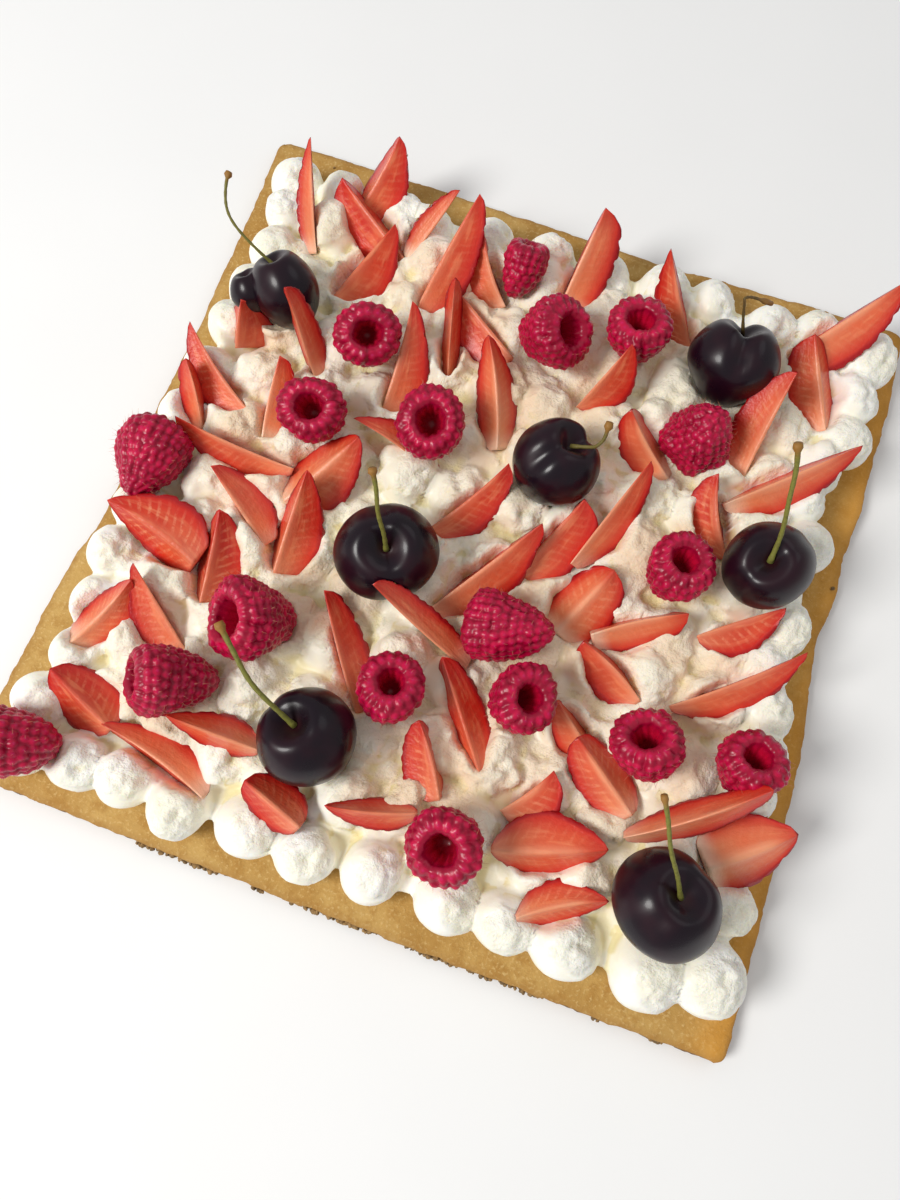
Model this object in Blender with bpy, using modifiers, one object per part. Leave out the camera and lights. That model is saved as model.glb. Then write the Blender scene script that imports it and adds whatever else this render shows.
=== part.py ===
"""A fruit tart: a thin baked sheet, rows of piped cream, and fruit pressed into the cream.

The frame's origin is the centre of the sheet's underside, +X along its front edge, +Z up.
Lengths are metres; MM turns the millimetres of the tables into metres.
"""

import math
import random

import bmesh
import bpy
from mathutils import Matrix, Vector
from mathutils.bvhtree import BVHTree

MM = 0.001

# The pastry sheet
SHEET_WIDTH = 216 * MM
SHEET_DEPTH = 223 * MM
SHEET_THICKNESS = 5 * MM
SIDE_BOW = (0, 4 * MM, 2 * MM, 4 * MM)   # how far the front, right, back and left edges dip in
EDGE_WAVE = 0.7 * MM
FOOT_FLARE = 1.2 * MM        # the underside stands out this far past the top face
CORNER_RADIUS = 5 * MM
EDGE_STEPS = 9               # points along each side of the outline

# The piped cream
ROWS = 12
COLUMNS = 12
FIRST_DOLLOP = Vector((-90, -97)) * MM
LAST_DOLLOP = Vector((95, 91)) * MM
DOLLOP_RADIUS = 9.3 * MM
DOLLOP_HEIGHT = 15 * MM
DOLLOP_SPREAD = 0.09         # share by which the dollops differ in size
DOLLOP_DRIFT = 1.2 * MM      # how far a dollop strays from its place in the row
FILL_HEIGHT = 8 * MM         # the cream has run together up to here
CREAM_VOXEL = 1.7 * MM
CREAM_DETAIL = 0.036         # share of the voxel mesh's faces that is kept
CREAM_LEAST = 1 * MM         # cream left under the deepest fruit

CONTACT_GAP = 0.3 * MM       # clearance between touching pieces
POCKET_GAP = 1.3 * MM        # the cream's dents are this much deeper than the fruit in them
POCKET_MARGIN = 1.6 * MM     # and this much wider

# Raspberries: x, y, z of the middle, diameter and length in mm, then the direction in which
# the hollow opens: heading from +X and height above the horizontal in degrees
RASPBERRIES = (
    (-11, 78, 23, 16, 19, 90, 45),
    (-46, 40, 25, 19, 18, -60, 60),
    (3, 59, 25, 21, 20, -10, 45),
    (27, 67, 25, 19, 18, 150, 85),
    (-51, 12, 25, 19, 18, -80, 75),
    (-19, 20, 25, 20, 18, -80, 70),
    (53, 44, 24, 21, 22, -120, -80),
    (-89, -17, 23, 22, 24, 95, -10),
    (57, 2, 25, 19, 18, 70, 80),
    (-42, -48, 25, 22, 24, -145, 50),
    (20, -28, 25, 21, 24, -170, -10),
    (-3, -54, 25, 18, 18, 90, 80),
    (28, -45, 26, 18, 19, 0, 70),
    (-56, -70, 25, 21, 23, -155, 30),
    (63, -46, 25, 19, 19, 140, 65),
    (88, -42, 25, 18, 18, 100, 70),
    (-87, -98, 23, 21, 23, -160, 15),
    (23, -84, 25, 20, 18, -110, 70),
)
RASPBERRY_SIDES = 9
DRUPELET_RISE = 0.9 * MM

# Cherries: x, y, z of the middle and diameter in mm; the direction of the stem's dimple as
# heading and height in degrees; then the far end of the stem and the rise of its bend in mm
CHERRIES = (
    (-76, 44, 26, 23, 140, 60, (-90, 60, 48), 6),
    (55, 67, 26, 25, 95, 65, (61, 84, 38), 9),
    (17, 20, 26, 24, 50, 60, (28, 31, 42), 4),
    (-17, -20, 27, 27, -60, 75, (-25, -8, 56), 2),
    (79, 11, 27, 24, -130, 70, (69, 28, 60), 2),
    (-18, -72, 27, 25, 160, 70, (-44, -55, 50), 5),
    (76, -80, 27, 26, 60, 70, (64, -57, 56), 4),
)
TWIN_LOBE = (-82, 43, 24, 15)   # the first cherry's small second lobe: x, y, z, diameter
CHERRY_SIDES = 10
CHERRY_RINGS = 8
DIMPLE_DEPTH = 0.16          # shares of the radius
DIMPLE_WIDTH = 0.42
STEM_RADIUS = 0.8 * MM
STEM_STEPS = 4
KNOB_RADIUS = 1.7 * MM

# Strawberry slices, each a lengthwise sector of a berry lying on its cut or its skin.
# Each row: x, y, z of the stalk end, heading and lean of the line from there to the tip,
# its length, the berry's radius, the turn about that line (0 has the skin down, more turns
# the skin to the right), the angle of the sector, and how much of the berry was trimmed off
# with its stalk. Lengths in mm, angles in degrees, the trim in percent of the length.
# Slices that rest against each other with their faces stuck together are one piece.
STRAWBERRIES = (
    ((-74, 67, 15, 110, 40, 32, 7, -30, 55, 8),),
    ((-68, 86, 15, 66, 38, 25, 11, 5, 95, 12),
     (-48, 74, 17, 150, 15, 30, 12, -5, 75, 5),
     (-63, 54, 17, 66, 16, 28, 13, 10, 75, 8),
     (-46, 74, 16, 65, 30, 25, 6, -80, 55, 8)),
    ((-38, 58, 17, 75, 28, 37, 11, 25, 75, 8),
     (-13, 69, 16, 132, 30, 21, 11, -15, 70, 8)),
    ((-5, 52, 18, 150, 10, 29, 11, -20, 60, 5),
     (-21, 39, 16, 105, 30, 29, 10, 0, 40, 14)),
    ((2, 74, 15, 80, 39, 31, 11, 25, 75, 14),),
    ((44, 75, 15, 135, 40, 30, 9, 0, 70, 8),),
    ((71, 81, 17, 45, 30, 37, 12, 20, 80, 8),
     (88, 62, 16, 120, 22, 28, 11, 0, 90, 2)),
    ((-57, 25, 17, 131, 52, 28, 8, 25, 60, 10),),
    ((-36, 23, 16, 90, 30, 32, 11, 30, 65, 10),),
    ((-82, 0, 16, 120, 35, 20, 8, -20, 55, 10),
     (-72, 10, 17, 145, 20, 29, 10, -30, 60, 8)),
    ((-65, 3, 16, 92, 30, 24, 9, 20, 70, 8),),
    ((0, 22, 19, 115, 20, 32, 10, 5, 75, 8),),
    ((17, 43, 18, 57, 46, 24, 11, 15, 60, 3),),
    ((69, 39, 16, 86, 40, 32, 11, -30, 60, 8),),
    ((-52, -3, 18, 180, 15, 35, 10, -10, 55, 3),
     (-51, -13, 18, 55, 20, 28, 12, 0, 110, 5),
     (-46, -33, 16, 87, 28, 30, 12, 10, 80, 14),
     (-51, -27, 17, 145, 20, 26, 11, 35, 55, 8)),
    ((49, 31, 17, 145, 25, 23, 10, 5, 80, 8),),
    ((65, 28, 19, 40, 15, 40, 11, 10, 65, 3),
     (71, 14, 16, 120, 25, 24, 11, -10, 70, 3)),
    ((-10, -6, 17, 55, 20, 28, 10, 25, 65, 8),),
    ((-66, -39, 20, 165, 15, 28, 12, 30, 110, 10),
     (-61, -48, 17, 96, 20, 26, 12, 5, 75, 8)),
    ((30, -3, 18, 70, 20, 35, 10, 25, 50, 5),
     (17, -10, 17, 65, 20, 27, 12, 25, 75, 5),
     (-2, -28, 17, 54, 18, 38, 13, 15, 65, 5)),
    ((13, -41, 19, 163, 32, 35, 8, 45, 55, 5),),
    ((-89, -70, 17, 60, 20, 25, 10, -10, 85, 8),
     (-59, -61, 16, 141, 24, 27, 10, -40, 65, 8)),
    ((-10, -62, 17, 125, 15, 34, 10, 25, 60, 8),),
    ((32, -23, 18, 65, 15, 23, 11, 5, 110, 8),
     (41, -21, 21, 30, 10, 26, 10, 10, 60, 8),
     (59, -33, 18, 155, 11, 22, 10, -10, 75, 2)),
    ((68, -11, 19, 35, 15, 24, 10, 30, 65, 3),),
    ((66, -32, 20, 40, 10, 38, 10, 25, 60, 3),),
    ((-68, -87, 18, 155, 15, 22, 11, 5, 95, 3),
     (-39, -95, 17, 165, 3, 33, 9, 25, 75, 3)),
    ((25, -65, 19, 128, 10, 31, 9, 20, 75, 2),),
    ((52, -51, 17, 145, 15, 18, 9, -10, 75, 8),
     (65, -62, 19, 145, 8, 24, 9, 0, 110, 2)),
    ((33, -72, 19, 55, 10, 17, 10, 40, 70, 5),
     (34, -82, 20, 20, 5, 29, 11, -20, 110, 1)),
    ((64, -68, 21, 38, 26, 38, 9, 0, 60, 3),),
    ((86, -68, 21, 40, 5, 24, 12, -15, 120, 10),),
    ((45, -95, 20, 30, 5, 23, 8, -10, 90, 2),),
)
SLICE_RINGS = (0, 0.28, 0.6, 0.87)      # where along its length a slice has a ring of points
SLICE_COLUMN_ANGLE = 28                 # degrees of skin to a column of faces


def clear_scene():
    for obj in list(bpy.data.objects):
        bpy.data.objects.remove(obj, do_unlink=True)


def new_collection(name, is_cutter=False):
    collection = bpy.data.collections.new(name)
    collection.hide_render = is_cutter
    bpy.context.scene.collection.children.link(collection)
    return collection


def material(name, color, roughness):
    made = bpy.data.materials.new(name)
    made.use_nodes = True
    shader = made.node_tree.nodes["Principled BSDF"]
    shader.inputs["Base Color"].default_value = (*color, 1)
    shader.inputs["Roughness"].default_value = roughness
    shader.inputs["Metallic"].default_value = 0
    return made


def mesh_object(name, bm, collection, surface=None):
    """An object made of the bmesh, which is freed; a cutter has no surface."""
    bmesh.ops.recalc_face_normals(bm, faces=bm.faces)
    mesh = bpy.data.meshes.new(name)
    bm.to_mesh(mesh)
    bm.free()
    obj = bpy.data.objects.new(name, mesh)
    collection.objects.link(obj)
    if surface is None:
        obj.hide_render = True
        obj.display_type = "WIRE"
    else:
        mesh.materials.append(surface)
        mesh.shade_smooth()
        mesh.set_sharp_from_angle(angle=math.radians(50))
    return obj


def pointing(heading, lean):
    """The turn that lays local +Z along a heading, raised by lean, both in degrees."""
    return Matrix.Rotation(math.radians(heading), 4, "Z") @ Matrix.Rotation(
        math.radians(90 - lean), 4, "Y"
    )


def boolean(obj, operation, other, name):
    step = obj.modifiers.new(name, "BOOLEAN")
    step.operation = operation
    step.object = other


def evaluated_bmesh(objects):
    """The objects as their modifiers leave them, in world space."""
    graph = bpy.context.evaluated_depsgraph_get()
    bm = bmesh.new()
    for obj in objects:
        mesh = bpy.data.meshes.new_from_object(obj.evaluated_get(graph))
        mesh.transform(obj.matrix_world)
        bm.from_mesh(mesh)
    return bm


# The sheet

def outline_side(side):
    """The points of one side of the sheet, 0 to 3 for front, right, back and left, and of the
    rounded corner after it."""
    sideways = side % 2
    reach = (SHEET_DEPTH if sideways else SHEET_WIDTH) / 2 - CORNER_RADIUS
    half = (SHEET_WIDTH if sideways else SHEET_DEPTH) / 2
    for step in range(EDGE_STEPS + 1):
        along = step / EDGE_STEPS
        middle = math.sin(math.pi * along)
        dent = (SIDE_BOW[side] + EDGE_WAVE * math.sin(11 * along + 2.3 * side)) * middle
        yield Vector((reach * (2 * along - 1), dent - half))
    slant = CORNER_RADIUS * math.sqrt(0.5)
    yield Vector((reach + slant, CORNER_RADIUS - slant - half))


def sheet_outline():
    for side in range(4):
        turn = Matrix.Rotation(side * math.pi / 2, 2)
        for point in outline_side(side):
            yield turn @ point


def make_sheet(collection, surface):
    bm = bmesh.new()
    top = bm.faces.new([bm.verts.new((p.x, p.y, SHEET_THICKNESS)) for p in sheet_outline()])
    foot = bmesh.ops.extrude_face_region(bm, geom=[top])
    for vert in (v for v in foot["geom"] if isinstance(v, bmesh.types.BMVert)):
        outward = vert.co.copy()
        outward.z = 0
        vert.co = vert.co + outward.normalized() * FOOT_FLARE
        vert.co.z = 0
    return mesh_object("pastry_base", bm, collection, surface)


# The fruit

def turned(bm, profile, steps):
    """Turns a profile of (radius, height) points whose ends lie on the axis right round it."""
    verts = [bm.verts.new((radius, 0, height)) for radius, height in profile]
    edges = [bm.edges.new(pair) for pair in zip(verts, verts[1:])]
    bmesh.ops.spin(
        bm, geom=verts + edges, axis=(0, 0, 1), angle=2 * math.pi, steps=steps, use_merge=True
    )
    bmesh.ops.remove_doubles(bm, verts=bm.verts, dist=0.01 * MM)


def raspberry_mesh(diameter, length):
    """Rows of drupelets round a hollow core; the hollow opens along +Z."""
    bm = bmesh.new()
    radius, half = diameter / 2, length / 2
    outer = ((0, -1), (0.56, -0.8), (0.9, -0.3), (1, 0.25), (0.78, 0.85))
    core = ((0.46, 0.93), (0.34, 0.3), (0, -0.1))
    turned(bm, [(radius * r, half * h) for r, h in outer + core], RASPBERRY_SIDES)
    half_step = Matrix.Rotation(math.pi / RASPBERRY_SIDES, 3, "Z")
    for _, height in outer[1::2]:
        ring = [v for v in bm.verts if abs(v.co.z - half * height) < 0.01 * MM]
        bmesh.ops.rotate(bm, verts=ring, matrix=half_step)
    inner = radius * 0.5
    sides = [f for f in bm.faces if min(v.co.xy.length for v in f.verts) > inner]
    bmesh.ops.poke(bm, faces=sides, offset=DRUPELET_RISE)
    return bm


def make_raspberries(collection, surface):
    for number, (x, y, z, diameter, length, heading, lean) in enumerate(RASPBERRIES, 1):
        bm = raspberry_mesh(diameter * MM, length * MM)
        berry = mesh_object(f"raspberry_{number:02}", bm, collection, surface)
        berry.matrix_world = Matrix.Translation(Vector((x, y, z)) * MM) @ pointing(heading, lean)


def cherry_mesh(diameter):
    """A globe with a dimple at +Z and a shallow seam down one side."""
    bm = bmesh.new()
    radius = diameter / 2
    bmesh.ops.create_uvsphere(
        bm, u_segments=CHERRY_SIDES, v_segments=CHERRY_RINGS, radius=radius
    )
    for vert in bm.verts:
        across = vert.co.xy.length / radius
        if vert.co.z > 0:
            dip = DIMPLE_DEPTH * math.exp(-((across / DIMPLE_WIDTH) ** 2))
            vert.co.z -= radius * dip
        vert.co.y *= 1.04
    return bm


def stem_curve(start, end, rise):
    """Points along a stem that bends up between its two ends."""
    middle = (start + end) / 2 + Vector((0, 0, rise))
    for step in range(STEM_STEPS + 1):
        t = step / STEM_STEPS
        yield start * (1 - t) ** 2 + middle * 2 * t * (1 - t) + end * t**2


def stem_mesh_object(name, points, collection):
    """A tube along the points that swells to a knob at its far end."""
    curve = bpy.data.curves.new(name, "CURVE")
    curve.dimensions = "3D"
    curve.bevel_depth = STEM_RADIUS
    curve.bevel_resolution = 0
    curve.use_fill_caps = True
    spline = curve.splines.new("POLY")
    spline.points.add(len(points) - 1)
    for spline_point, point in zip(spline.points, points):
        spline_point.co = (*point, 1)
    spline.points[-1].radius = KNOB_RADIUS / STEM_RADIUS
    tube = bpy.data.objects.new(name, curve)
    collection.objects.link(tube)
    graph = bpy.context.evaluated_depsgraph_get()
    bm = bmesh.new()
    bm.from_mesh(bpy.data.meshes.new_from_object(tube.evaluated_get(graph)))
    bmesh.ops.remove_doubles(bm, verts=bm.verts, dist=0.01 * MM)
    bpy.data.objects.remove(tube)
    return mesh_object(name, bm, collection)


def make_cherries(collection, helpers, surface):
    for number, (x, y, z, diameter, heading, lean, end, rise) in enumerate(CHERRIES, 1):
        name = f"cherry_{number}"
        cherry = mesh_object(name, cherry_mesh(diameter * MM), collection, surface)
        middle = Vector((x, y, z)) * MM
        aim = pointing(heading, lean)
        cherry.matrix_world = Matrix.Translation(middle) @ aim
        if number == 1:
            x, y, z, small = TWIN_LOBE
            lobe = mesh_object(name + "_lobe", cherry_mesh(small * MM), helpers)
            lobe.matrix_world = Matrix.Translation(Vector((x, y, z)) * MM) @ aim
            boolean(cherry, "UNION", lobe, "twin lobe")
        root = middle + aim.to_3x3() @ Vector((0, 0, diameter / 2 * 0.7 * MM))
        points = list(stem_curve(root, Vector(end) * MM, rise * MM))
        stem = stem_mesh_object(name + "_stem", points, helpers)
        boolean(cherry, "UNION", stem, "stem")


def slice_mesh(length, radius, turn, span, trim):
    """A sector of a berry about +Z from stalk end to tip; its skin faces +X when turn is 0."""
    bm = bmesh.new()
    verts = [bm.verts.new((0, 0, 0))]
    for along in SLICE_RINGS:
        on_berry = trim + (1 - trim) * along
        swell = math.sin(math.pi * on_berry**0.75) ** 0.8
        verts.append(bm.verts.new((radius * swell, 0, length * along)))
    verts.append(bm.verts.new((0, 0, length)))
    cut = bm.faces.new(verts)
    start = Matrix.Rotation(math.radians(-turn - span / 2), 3, "Z")
    bmesh.ops.rotate(bm, verts=verts, matrix=start)
    bmesh.ops.spin(
        bm,
        geom=[cut],
        axis=(0, 0, 1),
        angle=math.radians(span),
        steps=max(2, round(span / SLICE_COLUMN_ANGLE)),
    )
    bmesh.ops.remove_doubles(bm, verts=bm.verts, dist=0.01 * MM)
    bmesh.ops.dissolve_degenerate(bm, edges=bm.edges, dist=0.01 * MM)
    return bm


def make_strawberries(collection, helpers, surface):
    for number, group in enumerate(STRAWBERRIES, 1):
        first = None
        for x, y, z, heading, lean, length, radius, turn, span, trim in group:
            bm = slice_mesh(length * MM, radius * MM, turn, span, trim / 100)
            name = f"strawberry_{number:02}"
            if first is None:
                piece = first = mesh_object(name, bm, collection, surface)
            else:
                piece = mesh_object(name + "_more", bm, helpers)
                boolean(first, "UNION", piece, piece.name)
            piece.matrix_world = Matrix.Translation(Vector((x, y, z)) * MM) @ pointing(
                heading, lean
            )


# The cream

def dollops(floor):
    """Rows of round dollops, each a little different, standing in a low slab."""
    chance = random.Random(7)
    reach = LAST_DOLLOP - FIRST_DOLLOP
    bm = bmesh.new()
    for row in range(ROWS):
        for column in range(COLUMNS):
            size = 1 + chance.uniform(-DOLLOP_SPREAD, DOLLOP_SPREAD)
            x = FIRST_DOLLOP.x + reach.x * column / (COLUMNS - 1)
            y = FIRST_DOLLOP.y + reach.y * row / (ROWS - 1)
            x += chance.uniform(-DOLLOP_DRIFT, DOLLOP_DRIFT)
            y += chance.uniform(-DOLLOP_DRIFT, DOLLOP_DRIFT)
            radius, height = DOLLOP_RADIUS * size, DOLLOP_HEIGHT * size
            place = Matrix.Translation((x, y, floor + height * 0.42)) @ Matrix.Diagonal(
                (radius, radius, height * 0.58, 1)
            )
            bmesh.ops.create_uvsphere(bm, u_segments=12, v_segments=8, radius=1, matrix=place)
    middle = (FIRST_DOLLOP + LAST_DOLLOP) / 2
    slab = Matrix.Translation((middle.x, middle.y, floor)) @ Matrix.Diagonal(
        (reach.x, reach.y, 2 * FILL_HEIGHT, 1)
    )
    bmesh.ops.create_cube(bm, size=1, matrix=slab)
    return bm


def press_fruit_in(bm, fruit, floor):
    """Lowers the cream wherever it would reach into the fruit above it."""
    tree = BVHTree.FromBMesh(fruit)
    around = [Vector((0, 0))] + [
        Vector((math.cos(angle), math.sin(angle))) * POCKET_MARGIN
        for angle in (step * math.pi / 4 for step in range(8))
    ]
    for vert in bm.verts:
        for offset in around:
            below = Vector((vert.co.x + offset.x, vert.co.y + offset.y, floor))
            hit = tree.ray_cast(below, Vector((0, 0, 1)))[0]
            if hit is not None:
                vert.co.z = min(vert.co.z, max(hit.z - POCKET_GAP, floor + CREAM_LEAST))


def make_cream(collection, helpers, fruit, surface):
    floor = SHEET_THICKNESS + CONTACT_GAP
    piped = mesh_object("dollops", dollops(floor), helpers)
    remesh = piped.modifiers.new("run together", "REMESH")
    remesh.mode = "VOXEL"
    remesh.voxel_size = CREAM_VOXEL
    bm = evaluated_bmesh([piped])
    press_fruit_in(bm, evaluated_bmesh(fruit), floor)
    cream = mesh_object("cream", bm, collection, surface)
    decimate = cream.modifiers.new("fewer faces", "DECIMATE")
    decimate.ratio = CREAM_DETAIL

    block = bmesh.new()
    depth = 40 * MM
    below = Matrix.Translation((0, 0, floor - depth / 2)) @ Matrix.Diagonal(
        (2 * SHEET_WIDTH, 2 * SHEET_DEPTH, depth, 1)
    )
    bmesh.ops.create_cube(block, size=1, matrix=below)
    boolean(cream, "DIFFERENCE", mesh_object("below_cream", block, helpers), "flat underside")


def main():
    clear_scene()
    tart = new_collection("fruit_tart")
    helpers = new_collection("helpers", is_cutter=True)
    make_strawberries(tart, helpers, material("strawberry", (0.68, 0.1, 0.04), 0.35))
    make_raspberries(tart, material("raspberry", (0.42, 0.01, 0.05), 0.4))
    make_cherries(tart, helpers, material("cherry", (0.02, 0.004, 0.006), 0.15))
    fruit = list(tart.objects)
    make_cream(tart, helpers, fruit, material("cream", (0.86, 0.8, 0.66), 0.6))
    make_sheet(tart, material("baked pastry", (0.52, 0.32, 0.09), 0.75))


main()
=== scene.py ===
import math
import random

import bmesh
import bpy
import numpy as np
from mathutils import Matrix, Vector, noise
from mathutils.bvhtree import BVHTree
from mathutils.kdtree import KDTree


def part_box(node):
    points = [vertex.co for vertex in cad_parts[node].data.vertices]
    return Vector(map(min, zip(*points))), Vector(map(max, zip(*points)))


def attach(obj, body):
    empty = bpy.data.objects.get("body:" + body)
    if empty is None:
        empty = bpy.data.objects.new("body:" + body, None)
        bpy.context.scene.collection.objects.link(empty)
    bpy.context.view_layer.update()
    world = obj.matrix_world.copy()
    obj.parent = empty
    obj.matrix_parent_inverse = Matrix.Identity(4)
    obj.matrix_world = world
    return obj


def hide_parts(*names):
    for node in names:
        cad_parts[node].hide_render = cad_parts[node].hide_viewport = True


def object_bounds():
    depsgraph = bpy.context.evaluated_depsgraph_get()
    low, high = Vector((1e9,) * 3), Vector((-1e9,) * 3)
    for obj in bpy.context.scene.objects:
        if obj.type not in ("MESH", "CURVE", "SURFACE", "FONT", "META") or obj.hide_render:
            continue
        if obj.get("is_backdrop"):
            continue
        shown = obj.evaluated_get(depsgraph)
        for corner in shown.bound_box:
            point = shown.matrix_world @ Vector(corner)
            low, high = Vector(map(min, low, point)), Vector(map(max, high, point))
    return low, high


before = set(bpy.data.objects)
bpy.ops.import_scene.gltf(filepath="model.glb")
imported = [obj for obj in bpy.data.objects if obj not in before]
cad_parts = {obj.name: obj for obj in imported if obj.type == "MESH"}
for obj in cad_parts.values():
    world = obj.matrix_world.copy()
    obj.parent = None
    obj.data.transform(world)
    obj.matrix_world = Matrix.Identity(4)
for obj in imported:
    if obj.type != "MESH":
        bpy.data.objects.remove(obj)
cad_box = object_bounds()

mm = 0.001


# ------------------------------------------------------------------ the pastry sheet
# A thin sheet of shortcrust, rolled out by hand, trimmed with a knife and baked flat until
# golden. Its sides are not quite straight, its edge is crumbly, and its underside is browner.

def tint(red, green, blue):
    """A colour as the eye sees it, 0 to 255, in the linear numbers a shader takes."""
    def linear(part):
        part /= 255
        return part / 12.92 if part <= 0.04045 else ((part + 0.055) / 1.055) ** 2.4
    return (linear(red), linear(green), linear(blue), 1)


def step(tree, kind, sockets=(), **settings):
    """Adds a node, with each named socket linked to another node's output or given a value."""
    made = tree.nodes.new(kind)
    for key, value in settings.items():
        setattr(made, key, value)
    for key, value in dict(sockets).items():
        if isinstance(value, bpy.types.NodeSocket):
            tree.links.new(value, made.inputs[key])
        else:
            made.inputs[key].default_value = value
    return made


def blend(tree, share, first, second):
    """The colour between first and second by share."""
    return step(tree, "ShaderNodeMix", {0: share, 6: first, 7: second}, data_type="RGBA").outputs[2]


def layered(tree, colour, *coats):
    """The colour under coats of others, each given by how far it covers and by its tint."""
    for share, coat in coats:
        colour = blend(tree, share, colour, tint(*coat))
    return colour


def count(tree, operation, first, *others):
    """Numbers or outputs reckoned together, from the first on."""
    for other in others or (0.0,):
        first = step(tree, "ShaderNodeMath", {0: first, 1: other}, operation=operation).outputs[0]
    return first


def times(tree, *numbers):
    return count(tree, "MULTIPLY", *numbers)


def plus(tree, *numbers):
    return count(tree, "ADD", *numbers)


def between(tree, value, low, high, start=0.0, end=1.0):
    """How far value has come from low to high, smoothly, as a number from start to end."""
    return step(tree, "ShaderNodeMapRange", {"Value": value, "From Min": low, "From Max": high,
                "To Min": start, "To Max": end}, interpolation_type="SMOOTHSTEP").outputs["Result"]


def mark(tree, name):
    return step(tree, "ShaderNodeAttribute", attribute_name=name).outputs["Fac"]


def own_place(tree):
    return step(tree, "ShaderNodeTexCoord").outputs["Object"]


def scaled(tree, vector, by):
    return step(tree, "ShaderNodeVectorMath", {0: vector, "Scale": by},
                operation="SCALE").outputs[0]


def grain_group():
    """Noise on the piece's own coordinates, whose lumps are about Size millimetres across."""
    group = bpy.data.node_groups.new("grain", "ShaderNodeTree")
    face = group.interface
    for key, value in (("Size", 1.0), ("Detail", 2.0), ("Roughness", 0.5)):
        face.new_socket(key, in_out="INPUT", socket_type="NodeSocketFloat").default_value = value
    face.new_socket("Grain", in_out="OUTPUT", socket_type="NodeSocketFloat")
    given = group.nodes.new("NodeGroupInput").outputs
    out = group.nodes.new("NodeGroupOutput").inputs
    place = scaled(group, own_place(group), count(group, "DIVIDE", 1 / mm, given["Size"]))
    lumpy = step(group, "ShaderNodeTexNoise", {"Vector": place, "Scale": 1.0,
                 "Detail": given["Detail"], "Roughness": given["Roughness"]})
    group.links.new(lumpy.outputs["Fac"], out["Grain"])
    return group


grained = grain_group()


def grain(tree, size, detail=2.0, roughness=0.5):
    """The grain group, placed with its own size."""
    return step(tree, "ShaderNodeGroup", {"Size": size, "Detail": detail, "Roughness": roughness},
                node_tree=grained).outputs["Grain"]


def raised(tree, height, millimetres, strength=1.0):
    """A bump of that depth for a height from 0 to 1."""
    return step(tree, "ShaderNodeBump", {"Height": height, "Distance": millimetres * mm,
                "Strength": strength}).outputs["Normal"]


def finish(name, **steady):
    """A new material with the sockets that are the same all over set, and its nodes."""
    made = bpy.data.materials.new(name)
    made.use_nodes = True
    shader = made.node_tree.nodes["Principled BSDF"]
    for key, value in steady.items():
        shader.inputs[key.replace("_", " ")].default_value = value
    return made, made.node_tree


def wire(made, **sockets):
    """Leads what changes over the surface to the material's shader."""
    shader = made.node_tree.nodes["Principled BSDF"]
    for key, value in sockets.items():
        made.node_tree.links.new(value, shader.inputs[key.replace("_", " ")])
    return made


def put_out(name, data):
    """An object of that name, in the scene."""
    made = bpy.data.objects.new(name, data)
    bpy.context.scene.collection.objects.link(made)
    return made


def keep_marks(mesh, marks):
    """Keeps numbers for every point with the mesh, for its material to read."""
    for key, values in marks.items():
        kept = mesh.attributes.new(key, "FLOAT", "POINT")
        kept.data.foreach_set("value", np.asarray(values, np.float32))


weld = 0.002 * mm


def shape(name, parts, material):
    """One piece from parts of (points, faces, marks), where marks are numbers kept per point."""
    points, faces, marks = [], [], {}
    start = 0
    for part_points, part_faces, part_marks in parts:
        points.append(np.asarray(part_points, float))
        faces += [tuple(start + corner for corner in face) for face in part_faces]
        for key, values in part_marks.items():
            marks.setdefault(key, []).append(np.broadcast_to(values, len(part_points)))
        start += len(part_points)
    mesh = bpy.data.meshes.new(name)
    mesh.from_pydata(np.concatenate(points).tolist(), [], faces)
    keep_marks(mesh, {key: np.concatenate(values) for key, values in marks.items()})
    bm = bmesh.new()
    bm.from_mesh(mesh)
    bmesh.ops.remove_doubles(bm, verts=bm.verts, dist=weld)
    bmesh.ops.recalc_face_normals(bm, faces=bm.faces)
    bm.to_mesh(mesh)
    bm.free()
    mesh.materials.append(material)
    mesh.shade_smooth()
    return put_out(name, mesh)


def settle(piece, slot, *nodes):
    """The piece belongs to the tart and stands for these nodes."""
    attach(piece, "root")
    if nodes:
        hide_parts(*nodes)
    return piece


def geometry_tree(name, **sizes):
    """A new tree with a geometry input and output, and these numbers as named inputs."""
    tree = bpy.data.node_groups.new(name, "GeometryNodeTree")
    for way in ("INPUT", "OUTPUT"):
        tree.interface.new_socket("Geometry", in_out=way, socket_type="NodeSocketGeometry")
    for key, value in sizes.items():
        kind = "NodeSocketInt" if isinstance(value, int) else "NodeSocketFloat"
        tree.interface.new_socket(key, in_out="INPUT", socket_type=kind).default_value = value
    return tree, tree.nodes.new("NodeGroupInput").outputs, tree.nodes.new("NodeGroupOutput").inputs


def chosen(tree, given, low, high):
    """A number between low and high, chosen for each point."""
    return step(tree, "FunctionNodeRandomValue", {2: low, 3: high, "Seed": given["Seed"]},
                data_type="FLOAT").outputs[1]


def way_kept(tree, name):
    return step(tree, "GeometryNodeInputNamedAttribute", {"Name": name},
                data_type="FLOAT_VECTOR").outputs[0]


def on_points(tree, given, lump, size):
    """The lump on every point, with its Z along the point's facing and its X along its run."""
    turn = step(tree, "FunctionNodeAxesToRotation", {"Primary Axis": way_kept(tree, "facing"),
                "Secondary Axis": way_kept(tree, "running")}, primary_axis="Z", secondary_axis="X")
    points = step(tree, "GeometryNodeMeshToPoints", {0: given["Geometry"]})
    return step(tree, "GeometryNodeInstanceOnPoints", {"Points": points.outputs[0],
                "Instance": lump.outputs[0], "Rotation": turn.outputs[0], "Scale": size}).outputs[0]


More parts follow.
